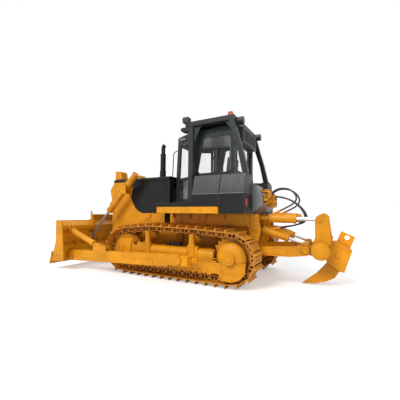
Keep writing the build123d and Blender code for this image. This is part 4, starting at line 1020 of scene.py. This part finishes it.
def corner_fill(before, corner, after):
    """The piece of a window's corner outside its rounding."""
    corner = Vector(corner)
    into, out = (Vector(before) - corner).normalized(), (Vector(after) - corner).normalized()
    reach = corner_radius / tan(into.angle(out) / 2)
    centre = corner + (into + out).normalized() * hypot(reach, corner_radius)
    start, end = corner + into * reach - centre, corner + out * reach - centre
    arc = [centre + (start * (1 - i / 8) + end * (i / 8)).normalized() * corner_radius for i in range(9)]
    return [corner] + arc


frames = Shapes("window_frames", "machine", dark, 0.002)
for window, lay, spans in ((side_window, frames.side, ((0.655, 0.699, 0.707), (-0.655, -0.699, -0.707))),
                           (rear_window, frames.across, ((0.145, 0.101, 0.093),))):
    middle_of = sum((Vector(p) for p in window), Vector((0, 0))) / len(window)
    for inner_face, wall_face, lip_face in spans:
        for i, corner in enumerate(window):
            after = Vector(window[(i + 1) % len(window)])
            lay(corner_fill(window[i - 1], corner, after), inner_face, wall_face)
            along = (after - Vector(corner)).normalized()
            out = Vector((along.y, -along.x)) * lip
            if out.dot(Vector(corner) - middle_of) < 0:
                out = -out
            first, last = Vector(corner) - along * lip * 0.5, after + along * lip * 0.5
            lay((first, last, last + out, first + out), wall_face, lip_face)
frames.done()

# ---------------------------------------------------------------- ripper

arms = Shapes("ripper_beam_fittings", "ripper_beam", yellow, 0.004, both=True)
beam_face = 0.610
arms.side(((-0.400, 0.640), (-0.400, 0.740), (-0.980, 0.772), (-0.980, 0.650)), beam_face - 0.002, beam_face + 0.009)
arms.turned((-0.250, beam_face - 0.002, 0.680), (0, 1, 0), ((0, 0.058), (0.012, 0.056), (0.014, 0.040)), 32)
arms.done()

pins_look = Shapes("ripper_pin_bolts", "ripper_pins", yellow, 0.002, both=True)
for x in (-1.335, -1.240):
    pins_look.bolt((x, 0.641, 0.740), (0, 1, 0), 0.014, 0.014)
pins_look.done()

carrier = Shapes("toolbar_fittings", "toolbar", yellow, 0.004, both=True)
carrier.turned((-1.559, 0.649, 0.762), (0, 1, 0), ((0, 0.150), (0.010, 0.146), (0.016, 0.110), (0.020, 0.060)), 40)
carrier.bolts_round((-1.559, 0.660, 0.762), (0, 1, 0), 0.128, 6, 0.013, 0.012)
carrier.turned((-1.541, 0.496, 1.355), (0, 1, 0), ((0, 0.072), (0.012, 0.070), (0.016, 0.050), (0.024, 0.048)), 32)
carrier.turned((-1.541, 0.344, 1.355), (0, -1, 0), ((0, 0.072), (0.012, 0.070), (0.016, 0.050)), 32)
carrier.box(-1.760, -1.700, 0.320, 0.345, 0.930, 1.000)
carrier.turned((-1.850, 0.114, 0.640), (0, 1, 0), ((0, 0.050), (0.020, 0.048), (0.024, 0.034)), 28)
carrier.side(((-1.640, 0.560), (-1.640, 0.600), (-1.980, 0.520), (-1.980, 0.480)), 0.114, 0.124)
carrier.side(((-1.760, 0.860), (-1.760, 0.890), (-2.040, 0.745), (-2.040, 0.712)), 0.114, 0.124)
carrier.done()

base_y = {"pitch": 0.420, "raise": 0.400}
for name, base, eye, start, end, radius in (
        ("pitch", (-0.330, 1.365), (-1.541, 1.355), 0.300, 0.790, 0.092),
        ("raise", (-0.330, 1.155), (-1.289, 0.860), 0.150, 0.670, 0.078)):
    root, far = Vector((base[0], 0, base[1])), Vector((eye[0], 0, eye[1]))
    way = (far - root).normalized()
    rise = Vector((way.z, 0, -way.x))
    for hand, sign in hands:
        y = sign * base_y[name]
        ram = Shapes(f"{name}_barrel_fittings_{hand}", f"{name}_barrel_{hand}", yellow, 0.003)
        at = root + Vector((0, y, 0))
        for along, length, grow in ((start - 0.03, 0.030, 0.007), ((start + end) / 2, 0.022, 0.005),
                                    (end - 0.055, 0.053, 0.009)):
            ram.sleeve(at + way * along, way, radius - 0.004, radius + grow, length)
        pipe_base = at + rise * (radius + 0.014)
        ram.pipe([pipe_base + way * (start + 0.03) - rise * 0.020, pipe_base + way * (start + 0.07),
                  pipe_base + way * (end - 0.10), pipe_base + way * (end - 0.06) - rise * 0.020], 0.010, 0.025)
        ram.done()

bracket = Shapes("ripper_bracket_fittings", "machine", yellow, 0.003, both=True)
for x, z in ((-0.250, 1.410), (-0.330, 1.418), (-0.250, 0.800), (-0.250, 0.930), (-0.250, 1.060), (-0.250, 1.250)):
    bracket.bolt((x, 0.670, z), (0, 1, 0), 0.015, 0.014)
for x, z, radius in ((-0.330, 1.365, 0.056), (-0.330, 1.155, 0.056), (-0.250, 0.680, 0.056)):
    bracket.turned((x, 0.668, z), (0, 1, 0), ((0, radius), (0.014, radius - 0.003), (0.016, radius - 0.016)), 28)
bracket.done()

bodies_of_valve = Shapes("valve_bodies", "machine", yellow, 0.003)
for y, z, reach in ((0.355, 1.700, 0.090), (0.355, 1.800, 0.060), (0.420, 1.740, 0.110), (0.490, 1.690, 0.080),
                    (0.490, 1.790, 0.070), (0.560, 1.740, 0.060)):
    bodies_of_valve.turned((-0.480, y, z), (-1, 0, 0), ((0, 0.034), (reach, 0.034), (reach + 0.004, 0.024),
                                                        (reach + 0.040, 0.022), (reach + 0.044, 0.014)), 20)
    bodies_of_valve.turned((-0.520, y, z + 0.028), (0, 0, 1), ((0, 0.018), (0.040, 0.018), (0.044, 0.026),
                                                               (0.062, 0.024)), 6)
bodies_of_valve.box(-0.560, -0.490, 0.300, 0.600, 1.650, 1.672)
bodies_of_valve.box(-0.545, -0.490, 0.290, 0.610, 1.828, 1.846)
for y, rise in ((0.345, 0.06), (0.450, 0.09), (0.545, 0.05)):
    bodies_of_valve.pipe(((-0.600, y, 1.80), (-0.620, y, 1.84 + rise), (-0.540, y, 1.88 + rise),
                          (-0.430, y - 0.02, 1.86 + rise)), 0.014, 0.04)
bodies_of_valve.done()

valve = Shapes("valve_fittings", "machine", black, 0.002)
for y in (0.095, 0.150, 0.205, 0.260):
    valve.turned((-0.620, y, 1.858), (0, 0, 1), ((0, 0.020), (0.016, 0.020), (0.018, 0.013), (0.034, 0.013)), 16)
for z in (1.66, 1.76):
    valve.box(-0.676, -0.668, 0.080, 0.280, z, z + 0.040)
valve.done()
